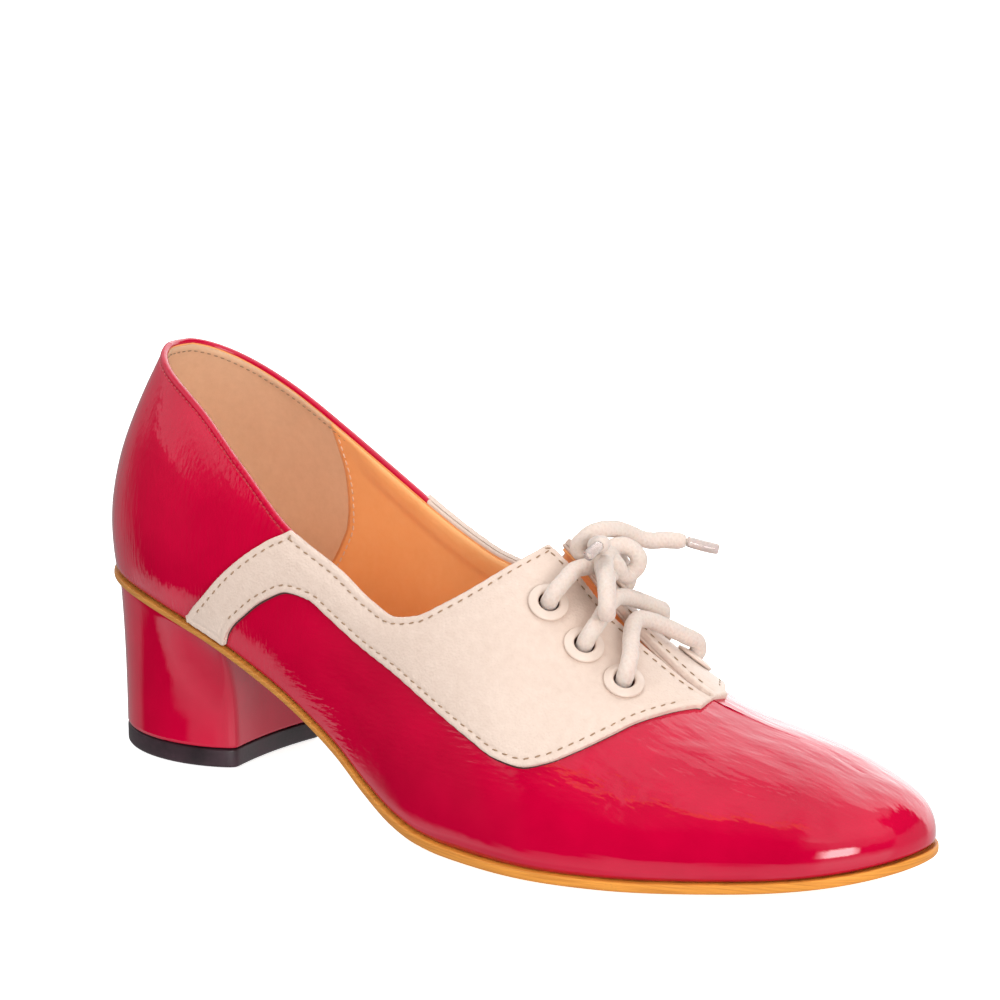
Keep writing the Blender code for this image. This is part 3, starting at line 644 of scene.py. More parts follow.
def pale():
    """Pale smooth leather with a fine pebble and soft blotches."""
    p = Paint("saddle_leather", Roughness=0.5, IOR=1.45, Sheen_Weight=0.12, Sheen_Roughness=0.5)
    blotch = p.mix(0.55, p.noise(28.0, 5.0, 0.65), p.noise(420.0, 4.0, 0.7))
    p.tone(blotch, (0.655, 0.505, 0.42), (0.745, 0.60, 0.51))
    p.rough(p.noise(300.0), 0.18, 0.38)
    p.relief((p.noise(700.0, 4.0, 0.6), 0.00012), (p.cells(1500.0), 0.00009), (p.noise(70.0, 2.0), 0.00020))
    return p.mat


def suede(name, dark, light, nap):
    """Lining leather with a nap and a mottled tone."""
    p = Paint(name, Roughness=0.85, Sheen_Weight=0.35, Sheen_Roughness=0.4, Sheen_Tint=(1.0, 0.8, 0.6, 1.0))
    mottle = p.mix(0.5, p.noise(60.0, 6.0, 0.7), p.noise(420.0, 4.0, 0.7))
    p.tone(mottle, dark, light, 0.28, 0.72)
    p.relief((p.stretched((2600.0, 2600.0, 1500.0), 4.0, 0.7), nap), (p.noise(45.0, 2.0), 0.0004))
    return p.mat


def smooth_lining_and_painted_shade(name, dark, light):
    """Smooth finished leather; the same recipe gives the painted shade in the eyelet bores and the painted
    shadow under the saddles' edges.
    """
    p = Paint(name, Roughness=0.5, IOR=1.45, Sheen_Weight=0.1)
    p.tone(p.mix(0.3, p.noise(35.0, 4.0, 0.6), p.noise(500.0, 3.0, 0.6)), dark, light)
    p.rough(p.noise(260.0), 0.2, 0.4)
    p.relief((p.noise(1100.0, 3.0, 0.6), 0.00005), (p.noise(60.0, 2.0), 0.0003))
    return p.mat


def sole_tan():
    """Stained sole board: layered lines along the edge, painted shade darker towards the heel, with glue
    marks.
    """
    p = Paint("sole_board", Roughness=0.5, IOR=1.45)
    layers = p.stretched((60.0, 60.0, 2600.0), 3.0, 0.6)
    base = p.ramp(layers, [(0.30, (0.54, 0.19, 0.024)), (0.62, (0.77, 0.305, 0.045))])
    # Painted shade: from the waist back to the heel the edge colour is mixed towards dark brown.
    heel_painted_shade = p.math("MULTIPLY_ADD", p.rising(p.split(p.place)["X"], -0.05, 0.03), -0.4, 0.4)
    base = p.mix(heel_painted_shade, base, (0.23, 0.125, 0.036))
    marks = p.ramp(p.noise(42.0, 6.0, 0.75), [(0.60, 0.0), (0.74, 0.75)])
    p.colour(p.mix(marks, base, (0.20, 0.10, 0.035)))
    p.rough(layers, 0.3, 0.35)
    p.relief((layers, 0.00005), (p.noise(900.0, 3.0), 0.00004))
    return p.mat


def rubber():
    """Dark moulded top lift with scuffs."""
    p = Paint("heel_rubber", Roughness=0.5, IOR=1.5)
    scuff = p.noise(130.0, 6.0, 0.7)
    p.tone(scuff, (0.014, 0.007, 0.010), (0.046, 0.020, 0.029), 0.35, 0.75)
    p.rough(scuff, 0.4, 0.3)
    p.relief((p.noise(1200.0, 3.0), 0.00005))
    return p.mat


def enamel():
    """Pale enamelled metal eyelet."""
    p = Paint("eyelet_enamel", Roughness=0.4, IOR=1.5, Coat_Weight=0.25, Coat_Roughness=0.10)
    p.tone(p.noise(180.0, 3.0), (0.69, 0.55, 0.465), (0.745, 0.605, 0.515))
    p.rough(p.noise(700.0), 0.15, 0.35)
    p.relief((p.noise(320.0, 2.0), 0.00003), coat=True)
    return p.mat


YARNS_AROUND = 6.0
YARN_PITCH = 1.5


def cotton():
    """Round braided cotton: crossing yarns along the cord, with loose fibres."""
    p = Paint("lace_cotton", Roughness=0.9, Sheen_Weight=0.25, Sheen_Roughness=0.5, Subsurface_Weight=0.35,
              Subsurface_Radius=(1.0, 0.6, 0.45), Subsurface_Scale=0.0015)
    along, around, _ = p.split(p.node("ShaderNodeUVMap", uv_map="along").outputs["UV"])
    waves = []
    for way in (1.0, -1.0):
        turn = p.math("MULTIPLY", around, way * YARNS_AROUND * 2 * math.pi)
        waves.append(p.math("SINE", p.math("MULTIPLY_ADD", along, 2 * math.pi / YARN_PITCH, turn)))
    braid = p.math("MULTIPLY_ADD", p.math("MAXIMUM", *waves), 0.5, 0.5)
    fuzz = p.noise(1900.0, 5.0, 0.75)
    p.tone(p.mix(0.88, braid, fuzz), (0.64, 0.52, 0.45), (0.74, 0.63, 0.56), 0.25, 0.65)
    p.relief((braid, 0.00006), (fuzz, 0.00007))
    return p.mat


def thread(name, dark, light):
    """Twisted sewing thread."""
    p = Paint(name, Roughness=0.7, Sheen_Weight=0.3)
    twist = p.noise(2600.0, 3.0)
    p.tone(twist, dark, light)
    p.relief((twist, 0.00008))
    return p.mat


def clear_film():
    """Clear plastic sleeve of a lace tip."""
    p = Paint("tip_film", Roughness=0.08, IOR=1.46, Transmission_Weight=0.85)
    p.tone(p.noise(500.0), (0.80, 0.76, 0.78), (0.92, 0.89, 0.90))
    p.rough(p.noise(900.0), 0.15, 0.04)
    p.relief((p.noise(600.0, 2.0), 0.00006))
    return p.mat


PATENT = patent("patent_leather", 0.00009)
PATENT_HEEL = patent("patent_heel_wrap", 0.00002)
PALE = pale()
COUNTER = suede("counter_suede", (0.68, 0.43, 0.265), (0.79, 0.525, 0.335), 0.00006)
FRONT, SOCK = (smooth_lining_and_painted_shade(name, (0.94, 0.425, 0.145), (0.99, 0.505, 0.20))
               for name in ("front_lining", "sock"))
# Painted shadow: a thin dark film at the foot of the saddles' lower edges, standing for the shade under the
# raised edge.
SADDLE_EDGE_PAINTED_SHADOW = smooth_lining_and_painted_shade("saddle_edge_painted_shadow", (0.040, 0.010, 0.010), (0.075, 0.022, 0.020))
# Painted shade: dark brown on the wall of the eyelets' bores, for the shaded hole.
BORE_PAINTED_SHADE = smooth_lining_and_painted_shade("eyelet_bore_painted_shade", (0.17, 0.050, 0.022), (0.24, 0.078, 0.036))
TAN = sole_tan()
RUBBER = rubber()
ENAMEL = enamel()
COTTON = cotton()
TAUPE = thread("taupe_thread", (0.25, 0.145, 0.080), (0.40, 0.255, 0.150))
RED_THREAD = thread("red_thread", (0.40, 0.004, 0.018), (0.62, 0.03, 0.05))
CREAM_THREAD = thread("cream_thread", (0.76, 0.49, 0.30), (0.86, 0.61, 0.42))
FILM = clear_film()


# Camera, at the photograph's place

CAMERA_AT = (550.578, -589.674, 238.312)
CAMERA_YAW = 0.94377116
CAMERA_PITCH = 0.21582926
LENS = 108.0

eye = bpy.data.cameras.new("camera")
eye.sensor_width = 36.0
eye.lens = LENS
camera = bpy.data.objects.new("camera", eye)
bpy.context.scene.collection.objects.link(camera)
camera.location = world(CAMERA_AT)
looking = Vector((-math.cos(CAMERA_YAW) * math.cos(CAMERA_PITCH),
                  math.sin(CAMERA_YAW) * math.cos(CAMERA_PITCH), -math.sin(CAMERA_PITCH)))
camera.rotation_euler = looking.to_track_quat("-Z", "Y").to_euler()
bpy.context.scene.camera = camera


# Eyelets and lace


def off_ridge(angle, distance):
    """t where a section comes within a distance of the ridge line in plan."""
    return first_t(angle, lambda p: np.abs(p[..., 1] - ridge_y(p[..., 0])) > distance)


def eyelet_seats():
    """Angle and t of each eyelet, from the top row down on each side."""
    seats = {}
    for side, name in ((-1, "lateral"), (1, "medial")):
        for row, x in enumerate(EYELET_ROWS_X, 1):
            angle = np.array([angle_at(x, side)])
            seats[name, row] = (float(angle[0]), float(off_ridge(angle, EYELET_FROM_RIDGE)[0]))
    return seats


SEATS = eyelet_seats()
EYELET_PROUD = GAP + SADDLE_THICK + GAP


def out_of_eyelet(seat, steps, target):
    """Route points by their height above the eyelet's seat and their way towards a target."""
    base, normal = skin(*seat, EYELET_PROUD), last_normal(*seat)
    onward = np.array(target) - base
    onward = unit(onward - normal * np.dot(onward, normal))
    return [base + normal * up + onward * over for up, over in steps]


# Height above the seat and way towards the target, on each side of the leather
OUTSIDE = [(-1.5, 0.35), (0.6, 0.4), (2.2, 0.7), (3.4, 2.2), (3.4, 5.0)]
INSIDE = [(-8.2, -1.5), (-5.6, -0.2), (-3.4, 0.3)]
CORD_SIDES = 20
CORD_STEP = 0.55
CURVE_STEPS = 24
TAPER_REACH = 0.8
TIP_CORE = 0.66


def smooth_route(points):
    """Evenly spaced points on a smooth curve through a route's own points, and its length."""
    p = np.array(points, float)
    p = np.concatenate([2 * p[:1] - p[1:2], p, 2 * p[-1:] - p[-2:-1]])
    u = np.linspace(0, 1, CURVE_STEPS, endpoint=False)[:, None]
    fine = []
    for a, b, c, d in zip(p, p[1:], p[2:], p[3:]):
        square, cube = 2 * a - 5 * b + 4 * c - d, 3 * b - a - 3 * c + d
        fine.append(0.5 * (2 * b + (c - a) * u + square * u * u + cube * u ** 3))
    fine = np.concatenate(fine + [p[-2:-1]])
    run = run_along(fine)
    even = np.linspace(0, run[-1], max(2, round(run[-1] / CORD_STEP)) + 1)
    return along_line(fine, run, even), run[-1]


def map_along(mesh, s, sides):
    """UV map of a cord: distance along it, share of a turn around it."""
    loops = np.zeros(len(mesh.loops), np.int32)
    mesh.loops.foreach_get("vertex_index", loops)
    ring = np.minimum(loops // sides, len(s) - 1)
    turn = (loops % sides) / sides
    for face in mesh.polygons:
        part = slice(face.loop_start, face.loop_start + face.loop_total)
        if turn[part].max() > 0.7:  # this face closes the turn
            turn[part] = np.where(turn[part] < 0.3, turn[part] + 1, turn[part])
    layer = mesh.uv_layers.new(name="along")
    layer.data.foreach_set("uv", np.column_stack([s[ring], turn]).astype(np.float32).ravel())


def tube(name, route, diameter, mat, stands_for=(), taper=0.0, ripple=0.03, far_end_only=False):
    """Round cord along a route, slightly uneven, thinner by taper at its ends or its far end."""
    line, length = smooth_route(route)
    count, sides = len(line), CORD_SIDES
    tangent = unit(np.gradient(line, axis=0))
    across = np.cross(tangent[0], (0.3, 0.2, 1.0))
    frames = []
    for t in tangent:
        across = unit(across - t * np.dot(across, t))
        frames.append((across, np.cross(t, across)))
    turn = np.linspace(0, 2 * math.pi, sides, endpoint=False)
    s = np.linspace(0, length, count)
    radius = diameter / 2 * (1 + ripple * np.sin(s * 1.9) * np.sin(s * 0.7 + 1.0))
    to_end = length - s if far_end_only else np.minimum(s, length - s)
    radius = radius * (1 - taper * np.exp(-to_end / TAPER_REACH))
    rings = [c + r * (np.cos(turn)[:, None] * a + np.sin(turn)[:, None] * b)
             for c, r, (a, b) in zip(line, radius, frames)]
    points = np.concatenate([np.array(rings).reshape(-1, 3), line[:1], line[-1:]])
    faces = quads(count, sides, wrap_columns=True).reshape(-1, 4).tolist()
    first, end, base = count * sides, count * sides + 1, (count - 1) * sides
    faces += [[first, (k + 1) % sides, k] for k in range(sides)]
    faces += [[end, base + k, base + (k + 1) % sides] for k in range(sides)]
    obj = piece(name, points, faces, [mat], stands_for, weld=0.0002)
    map_along(obj.data, s, sides)
    return obj, world(line), length


def knotted(side):
    """Route of one half of the lace: out of the top eyelet, through the knot, loop and end."""
    start = out_of_eyelet(SEATS[side, 1], INSIDE[1:] + OUTSIDE, RUN_TO_KNOT[side][0])
    parts = (RUN_TO_KNOT, THROUGH_KNOT, LOOPS, BACK_OUT, ENDS)
    return start + [point for part in parts for point in part[side]]


def across_bar(row):
    """Route of one bar: out of one eyelet, over the slit and into the other."""
    angle = angle_at(EYELET_ROWS_X[row - 1] - BAR_DRAWN_BACK[row], -1)
    top = last(angle, 1.0) + last_normal(angle, 1.0) * BAR_OVER_RIDGE
    lateral, medial = (out_of_eyelet(SEATS[side, row], INSIDE + OUTSIDE, top)
                       for side in ("lateral", "medial"))
    return [*lateral, top, *medial[::-1]]


def build_lace():
    for side, hand, knot in (("lateral", "left", ("lace_bow",)), ("medial", "right", ())):
        nodes = (f"lace_run_{side}", f"lace_end_{hand}", *knot)
        cord, line, length = tube(f"lace_{side}", knotted(side), LACE, COTTON, nodes,
                                  taper=0.32, far_end_only=True)
        into_tip = [ENDS[side][-1], *TIPS[side][1:]]
        core, _, _ = tube(f"lace_tip_core_{side}", into_tip, TIP * TIP_CORE, COTTON, taper=0.15)
        film, _, _ = tube(f"lace_tip_film_{side}", TIPS[side], TIP, FILM,
                          (f"lace_tip_{hand}",), taper=0.12, ripple=0.0)
    lower = [*across_bar(3)[::-1], *across_bar(2)]
    tube("lace_bars", lower, LACE, COTTON, ("lace_bar_2", "lace_bar_3"))


build_lace()

EYELET_SIDES = 56
EYELET_LIP = 0.55
EYELET_LIP_RISE = 0.45
EYELET_ROLL = 0.5
EYELET_UNDER = 0.25
HOLE_SIDES = 32
HOLE_SLACK = 0.15


def seat_axes(seat):
    """Matrix that turns +Z to the normal of a seat."""
    return np.array(Vector(last_normal(*seat)).to_track_quat("Z", "Y").to_matrix())


def circle(radius, z, sides):
    turn = np.linspace(0, 2 * math.pi, sides, endpoint=False)
    return np.stack([radius * np.cos(turn), radius * np.sin(turn), np.full(sides, z)], -1)


def build_eyelets():
    """Rings turned round the seats' normals; the wall of the bore is painted dark, as painted shade in the
    hole.
    """
    bore, barrel, rim = EYELET_BORE / 2, EYELET_BARREL / 2, EYELET_FLANGE / 2
    lip = [(bore + EYELET_LIP - EYELET_LIP * math.cos(a), EYELET_LIP + EYELET_LIP_RISE * math.sin(a))
           for a in np.linspace(0, 1.57, 7)]
    slope = [(bore + 1.2, 0.98), (rim - 1.0, 0.82)]
    roll = [(rim - EYELET_ROLL + EYELET_ROLL * math.sin(a), 0.18 + EYELET_ROLL * math.cos(a))
            for a in np.linspace(0.3, 1.9, 6)]
    profile = [(bore, -EYELET_DEPTH), (bore, 0.2), *lip, *slope, *roll, (rim - 0.3, -EYELET_UNDER),
               (barrel, -EYELET_UNDER), (barrel, -EYELET_DEPTH)]
    rings = np.array([circle(r, z, EYELET_SIDES) for r, z in profile]).reshape(-1, 3)
    faces = quads(len(profile), EYELET_SIDES, wrap_rows=True, wrap_columns=True).reshape(-1, 4)
    painted_shade_faces = np.repeat(np.arange(len(profile)) == 0, EYELET_SIDES)
    for (side, row), seat in SEATS.items():
        name = f"eyelet_{side}_{row}"
        points = rings @ seat_axes(seat).T + skin(*seat, EYELET_PROUD)
        piece(f"{name}_ring", points, faces, [ENAMEL, BORE_PAINTED_SHADE], (name,), painted_shade_faces, sharp=50)


build_eyelets()


def hole_cutters():
    """All six barrels as one cutter."""
    points, faces, count, n = [], [], 0, HOLE_SIDES
    radius, depth = EYELET_BARREL / 2 + HOLE_SLACK, 3 * EYELET_DEPTH
    for seat in SEATS.values():
        points += [circle(radius, z, n) @ seat_axes(seat).T + last(*seat) for z in (-depth, depth)]
        for k in range(n):
            after = (k + 1) % n
            faces.append([count + k, count + after, count + n + after, count + n + k])
        faces += [list(range(count + n - 1, count - 1, -1)), list(range(count + n, count + 2 * n))]
        count += 2 * n
    mesh = bpy.data.meshes.new("eyelet_holes")
    mesh.from_pydata(world(np.concatenate(points)).tolist(), [], faces)
    obj = bpy.data.objects.new("eyelet_holes", mesh)
    bpy.context.scene.collection.objects.link(obj)
    obj.hide_render = True
    return obj


HOLES = hole_cutters()


# Upper

SMALL_LUMPS = 0.05
BROAD_LUMPS = 0.06


def creased(points):
    """Depth of the listed creases and of the soft lumps at points of the patent."""
    proud = np.zeros(points.shape[:-1])
    for start, end, width, depth in CREASES:
        start, end = np.array(start), np.array(end)
        along = end - start
        share = np.clip((points - start) @ along / (along @ along), 0, 1)
        away = np.linalg.norm(points - start - share[..., None] * along, axis=-1)
        proud -= depth * np.exp(-(away / width) ** 2) * np.sin(math.pi * (0.12 + 0.76 * share))
    x, y, z = np.moveaxis(points, -1, 0)
    proud += SMALL_LUMPS * np.sin(x / 6.3 + 1.7 * np.sin(z / 11.0)) * np.sin(z / 5.7 + y / 9.0)
    proud += BROAD_LUMPS * np.sin(x / 14.0 + y / 10.0) * np.sin(z / 12.0 + 0.8)
    return proud


def ring_angles(count):
    """Angles round the shoe, with one exactly at the throat and one at each corner."""
    side = math.pi * np.arange(count + 1) / count
    for x in (THROAT_X, CORNER_X):
        key = angle_at(x, -1)
        side[np.argmin(np.abs(side - key))] = key
    return np.concatenate([side, 2 * math.pi - side[-2:0:-1]])


TOP_ROWS = np.array([0, 0.15, 0.3, 0.5, 0.7, 0.9, 1.1, 1.25, 1.4, 1.6, 1.85, 2.2, 2.8, 3.8, 5.2])
RIM_HALF = 0.75
RIM_STEPS = 9
STITCH_BELOW = 2.15
UPPER_STATIONS = 320
UPPER_ROWS = 44
INNER_ROWS = 16
PALE_ROWS = 9
FOLD_RISE = 0.24
FOLD_SOFT = 0.6
FOLD_GROOVE = 0.20
FOLD_GROOVE_WIDTH = 0.32
UNDER_SADDLE = 0.45
FEATHER_TUCK = 0.6
FEATHER_ROUND = 1.3
# Distances over which something fades in
RIM_FADE = (0.0, 6.0)
UNDER_SADDLE_FADE = (2.0, 6.0)
CREASE_FADE = (2.5, 7.0)


def red_edge(angles):
    """1 where the collar edge is red patent, 0 where the saddle covers it."""
    x = LENGTH * share_of(angles)
    end = np.where(side_of(angles) < 0, RED_COLLAR_END[-1], RED_COLLAR_END[1])
    return 1 - smoothstep(end - 1.0, end + 1.0, x)


def build_upper():
    angles = ring_angles(UPPER_STATIONS)
    sections = Sections(angles)
    closed = sections.edge >= 1.0
    x = LENGTH * share_of(angles)
    bulge = np.where(closed, 0.0, smoothstep(*RIM_FADE, THROAT_X - x))
    bulge[x < SLIT_BACK_X] = 1.0
    red = red_edge(angles)
    start = RIM_HALF * bulge
    share = np.linspace(0, 1, UPPER_ROWS)[1:]
    reach = sections.height - start
    rest = TOP_ROWS[-1] + (reach[:, None] - TOP_ROWS[-1]) * share
    rows_below = np.broadcast_to(TOP_ROWS, (len(angles), len(TOP_ROWS)))
    below = np.concatenate([rows_below, rest], axis=1)
    below = (below + start[:, None])[:, ::-1]
    t = sections.below(below)
    a = np.broadcast_to(angles[:, None], t.shape)
    points = last(a, t)
    normal = last_normal(a, t)
    folded = FOLD_RISE * (1 - smoothstep(STITCH_BELOW - FOLD_SOFT, STITCH_BELOW, below))
    folded -= FOLD_GROOVE * np.exp(-((below - STITCH_BELOW) / FOLD_GROOVE_WIDTH) ** 2)
    under = -UNDER_SADDLE * (1 - smoothstep(*UNDER_SADDLE_FADE, below))
    open_edge = np.where(closed, 0.0, bulge)[:, None]
    proud = open_edge * (red[:, None] * folded + (1 - red[:, None]) * under)
    from_edge = np.where(closed[:, None], CREASE_FADE[1], below)
    proud += creased(points) * smoothstep(*CREASE_FADE, from_edge)
    height = sections.height[:, None] - below
    proud -= FEATHER_TUCK * np.clip(1 - height / FEATHER_ROUND, 0, 1) ** 2
    outer = points + proud[..., None] * normal
    mirror = (-np.arange(len(angles))) % len(angles)
    top_normal = unit(normal[:, -1] + np.where(closed[:, None], normal[mirror, -1], 0))
    up = points[:, -1] - points[:, -2]
    up = unit(up - top_normal * np.sum(up * top_normal, axis=1, keepdims=True))
    top_proud = np.where(closed, 0.0, proud[:, -1])[:, None]
    centre = points[:, -1] + (top_proud - WALL) / 2 * top_normal
    radius = (top_proud + WALL) / 2
    arc = np.linspace(0, math.pi, RIM_STEPS)[1:-1]
    rim = [centre + radius * math.cos(p) * top_normal + RIM_HALF * math.sin(p) * bulge[:, None] * up
           for p in arc]
    inner_below = start[:, None] + reach[:, None] * np.linspace(0, 1, INNER_ROWS)
    inner_t = sections.below(inner_below)
    inner_normal = last_normal(angles[:, None], inner_t)
    inner_normal[:, 0] = top_normal
    inner = last(angles[:, None], inner_t) - WALL * inner_normal
    grid = np.concatenate([outer, np.stack(rim, 1), inner], axis=1)
    count, rows = grid.shape[:2]
    faces = quads(count, rows, wrap_rows=True, wrap_columns=True)
    top = outer.shape[1] - 1
    last_rim = top + len(arc) + 1
    both = closed & np.roll(closed, -1)
    keep = np.ones(faces.shape[:2], bool)
    keep[both, top:last_rim] = False
    paint = np.zeros(faces.shape[:2], int)
    covered = red + np.roll(red, -1) < 1
    near_top = np.zeros(rows, bool)
    near_top[top - PALE_ROWS:last_rim] = True
    paint[np.ix_(covered & ~both, near_top)] = 1
    paint[:, last_rim:rows - 1] = 2
    return piece("upper_shell", grid.reshape(-1, 3), faces[keep], [PATENT, PALE, FRONT],
                 ("upper",), indices=paint[keep])


def soften_ridge(obj, half=6.0, depth=4, passes=14):
    """Takes the sharp line off the top of the vamp."""
    shape = bmesh.new()
    shape.from_mesh(obj.data)
    chosen = []
    for v in shape.verts:
        x, y, z = np.array(v.co) / MM + CENTRE
        near = x > THROAT_X + 1.5 and abs(y - ridge_y(np.array(x))) < half
        if near and z > read(RIDGE, "z", np.array(x / LENGTH)) - depth:
            chosen.append(v)
    for _ in range(passes):
        bmesh.ops.smooth_vert(shape, verts=chosen, factor=0.5,
                              use_axis_x=True, use_axis_y=True, use_axis_z=True)
    shape.to_mesh(obj.data)
    shape.free()


UPPER = build_upper()
soften_ridge(UPPER)
carve(UPPER, HOLES)


# Saddles

SADDLE_COLUMNS = 330
EDGE_ROWS = np.array([0, 0.12, 0.3, 0.55, 0.85, 1.2, 1.5, 1.75, 2.0, 2.3, 2.7, 3.4])
EDGE_SHARE = 2.6
SADDLE_STITCH = 1.8
SADDLE_ROUND = 0.55
SADDLE_GROOVE = 0.16
SADDLE_GROOVE_WIDTH = 0.33
SKIVED = 0.42
SKIVED_FADE = (0.5, 6.0)
SADDLE_SINK = 0.05
SADDLE_SINK_TOP = 0.40
SADDLE_SINK_FADE = (2.0, 6.0)
# The dark strip at the foot of the lower edge is a painted shadow line.
PAINTED_SHADOW_WIDTH = 0.55  # width of the dark strip at the foot of the lower edge
PAINTED_SHADOW_RISE = 0.12
PAINTED_SHADOW_FADE = (1.0, 3.0)
SADDLE_ROW_LOW = (60.0, 184.5)
SADDLE_ROW_HIGH = (46.5, 183.0)
HIGH_ROW_SINK = 0.30
HIGH_ROW_SINK_X = 76.0


def nearest(points, line):
    """Distance of each point from a dense line of points."""
    flat = points.reshape(-1, 3)
    far = np.full(len(flat), 1e9)
    for part in np.array_split(line, max(1, len(line) // 60)):
        far = np.minimum(far, np.linalg.norm(flat[:, None] - part, axis=-1).min(axis=1))
    return far.reshape(points.shape[:-1])


def saddle_edges(side):
    """Angles of a saddle's sections with the t of its lower and upper edge."""
    x = np.linspace(SADDLE_START_X, SADDLE_END_X, SADDLE_COLUMNS + 1)
    angles = angle_at(x, side)
    rear = SADDLE_REAR if side < 0 else SADDLE_REAR_MEDIAL
    below_rear = first_t(angles, lambda p: (p[..., 0] > rear["x"][-1])
                         | (p[..., 2] < read(rear, "z", p[..., 0], "x")))
    foot = last(angles, np.full(len(x), STRAP_FOOT))[:, 2]
    edge = read(SADDLE_LOW, "z", x, "x")
    reach = x[np.argmax(edge > foot + STRAP_ROUND)]
    behind = np.clip(1 - (x - SADDLE_START_X) / STRAP_ROUND, 0, 1)
    ahead = np.clip(1 - (reach - x) / STRAP_ROUND, 0, 1)
    corner = STRAP_ROUND * (2 - np.sqrt(1 - behind ** 2) - np.sqrt(1 - ahead ** 2))
    lowest = np.where(x < reach, np.maximum(edge, foot + corner), edge)
    high = np.minimum(below_rear, edge_t(angles))
    low = np.minimum(first_t(angles, lambda p: p[..., 2] < lowest), np.maximum(high, SADDLE_TIP) - SADDLE_TIP)
    low = np.maximum(low, STRAP_FOOT)
    high = np.maximum(high, low + SADDLE_TIP)
    return x, angles, low, high


def dense(points, step=0.25):
    run = run_along(points)
    return along_line(points, run, np.linspace(0, run[-1], int(run[-1] / step) + 2))


def build_saddle(name, side):
    x, angles, low, high = saddle_edges(side)
    t_mid = low[:, None] + (high - low)[:, None] * np.linspace(0, 1, 61)
    path = last(angles[:, None], t_mid)
    run = run_along(path)
    width = run[:, -1]
    shrink = np.minimum(1, width / (EDGE_SHARE * EDGE_ROWS[-1]))[:, None]
    lower = EDGE_ROWS * shrink
    upper = width[:, None] - EDGE_ROWS[::-1] * shrink
    middle = lower[:, -1:] + (upper[:, :1] - lower[:, -1:]) * np.linspace(0, 1, 24)[1:-1]
    at = np.concatenate([lower, middle, upper], axis=1)
    t = np.array([np.interp(a, r, q) for a, r, q in zip(at, run, t_mid)])
    a = np.broadcast_to(angles[:, None], t.shape)
    base = last(a, t)
    normal = last_normal(a, t)
    border = np.concatenate([dense(base[:, 0]), dense(base[:, -1]), dense(base[0]), dense(base[-1])])
    away = nearest(base, border)
    top_edge = np.where(x > RED_COLLAR_END[side])[0]
    to_top = nearest(base, dense(base[top_edge, -1]))
    full = GAP + SADDLE_THICK
    from_edge = np.clip(away / SADDLE_ROUND, 0, 1)
    rounding = SADDLE_ROUND * (1 - np.sqrt(np.clip(1 - (1 - from_edge) ** 2, 0, 1)))
    groove = SADDLE_GROOVE * np.exp(-((away - SADDLE_STITCH) / SADDLE_GROOVE_WIDTH) ** 2)
    skived = SKIVED * (1 - smoothstep(*SKIVED_FADE, to_top))
    proud = full - rounding - groove - skived
    outer = base + proud[..., None] * normal
    hidden = -SADDLE_SINK - SADDLE_SINK_TOP * (1 - smoothstep(*SADDLE_SINK_FADE, to_top))
    inner = (base + hidden[..., None] * normal)[:, ::-1]
    # The last inner row reaches outward into a thin dark film on the upper: a painted shadow line under the
    # lower edge.
    outward = unit(base[:, 0] - base[:, 1])
    above_feather = np.linalg.norm(base[:, 0] - last(angles, np.zeros_like(angles)), axis=1)
    inner[:, -1] += PAINTED_SHADOW_WIDTH * smoothstep(*PAINTED_SHADOW_FADE, above_feather)[:, None] * outward
    foot = base[:, :1] + PAINTED_SHADOW_RISE * normal[:, :1]
    grid = np.concatenate([outer, inner, foot], axis=1)
    count, rows = grid.shape[:2]
    painted_shadow_faces = np.tile(np.arange(rows) == rows - 2, count - 1)
    obj = piece(f"{name}_leather", grid.reshape(-1, 3), tubed(grid), [PALE, SADDLE_EDGE_PAINTED_SHADOW],
                (name,), painted_shadow_faces, sharp=55)
    carve(obj, HOLES)


# Stitches

STITCH_SIDES = 8
STITCH_ENDS = 0.18
STITCH_SLANT = 0.12
COLLAR_ROW_X = 75.0
COLLAR_ROW_SINK = 0.16
LINING_ROW_BELOW = 3.0
LINING_ROW_DEPTH = 2.05


def stitched(name, lines, mat, pitch=2.8, length=1.45, width=0.40, height=0.34, sink=0.02):
    """Rows of thread dashes; each line is its points with the surface normals there."""
    around = np.linspace(0, 2 * math.pi, STITCH_SIDES, endpoint=False)
    along = np.array([-1.0, -0.86, -0.45, 0.0, 0.45, 0.86, 1.0])
    girth = np.sqrt(np.clip(1 - along ** 4, 0, 1))
    girth[[0, -1]] = STITCH_ENDS
    points, faces, count, size = [], [], 0, len(along) * STITCH_SIDES
    cell = quads(len(along), STITCH_SIDES, wrap_columns=True).reshape(-1, 4)
    caps = [list(range(STITCH_SIDES - 1, -1, -1)), list(range(size - STITCH_SIDES, size))]
    for line, normals in lines:
        run = run_along(line)
        for s in np.arange(pitch * 0.6, run[-1] - length / 2, pitch):
            centre = along_line(line, run, s)
            n = unit(along_line(normals, run, s))
            u = along_line(line, run, s + 0.5) - along_line(line, run, s - 0.5)
            u = unit(u - n * np.dot(u, n))
            v = np.cross(n, u)
            u = u * math.cos(STITCH_SLANT) + v * math.sin(STITCH_SLANT)
            v = np.cross(n, u)
            body = (centre + n * (height / 2 - sink - height * 0.18)
                    + along[:, None, None] * length / 2 * u
                    + girth[:, None, None] * (np.cos(around)[:, None] * width / 2 * v
                                              + np.sin(around)[:, None] * height / 2 * n))
            points.append(body.reshape(-1, 3))
            faces += [list(f + count) for f in cell]
            faces += [[count + c for c in cap] for cap in caps]
            count += size
    piece(name, np.concatenate(points), faces, [mat], weld=0.0002)


def inset_line(edge, normals, way, inset):
    """A line of points moved sideways on its surface by inset; way is +1 or -1."""
    along = unit(np.gradient(edge, axis=0))
    sideways = np.cross(normals, along) * way
    return edge + sideways * inset


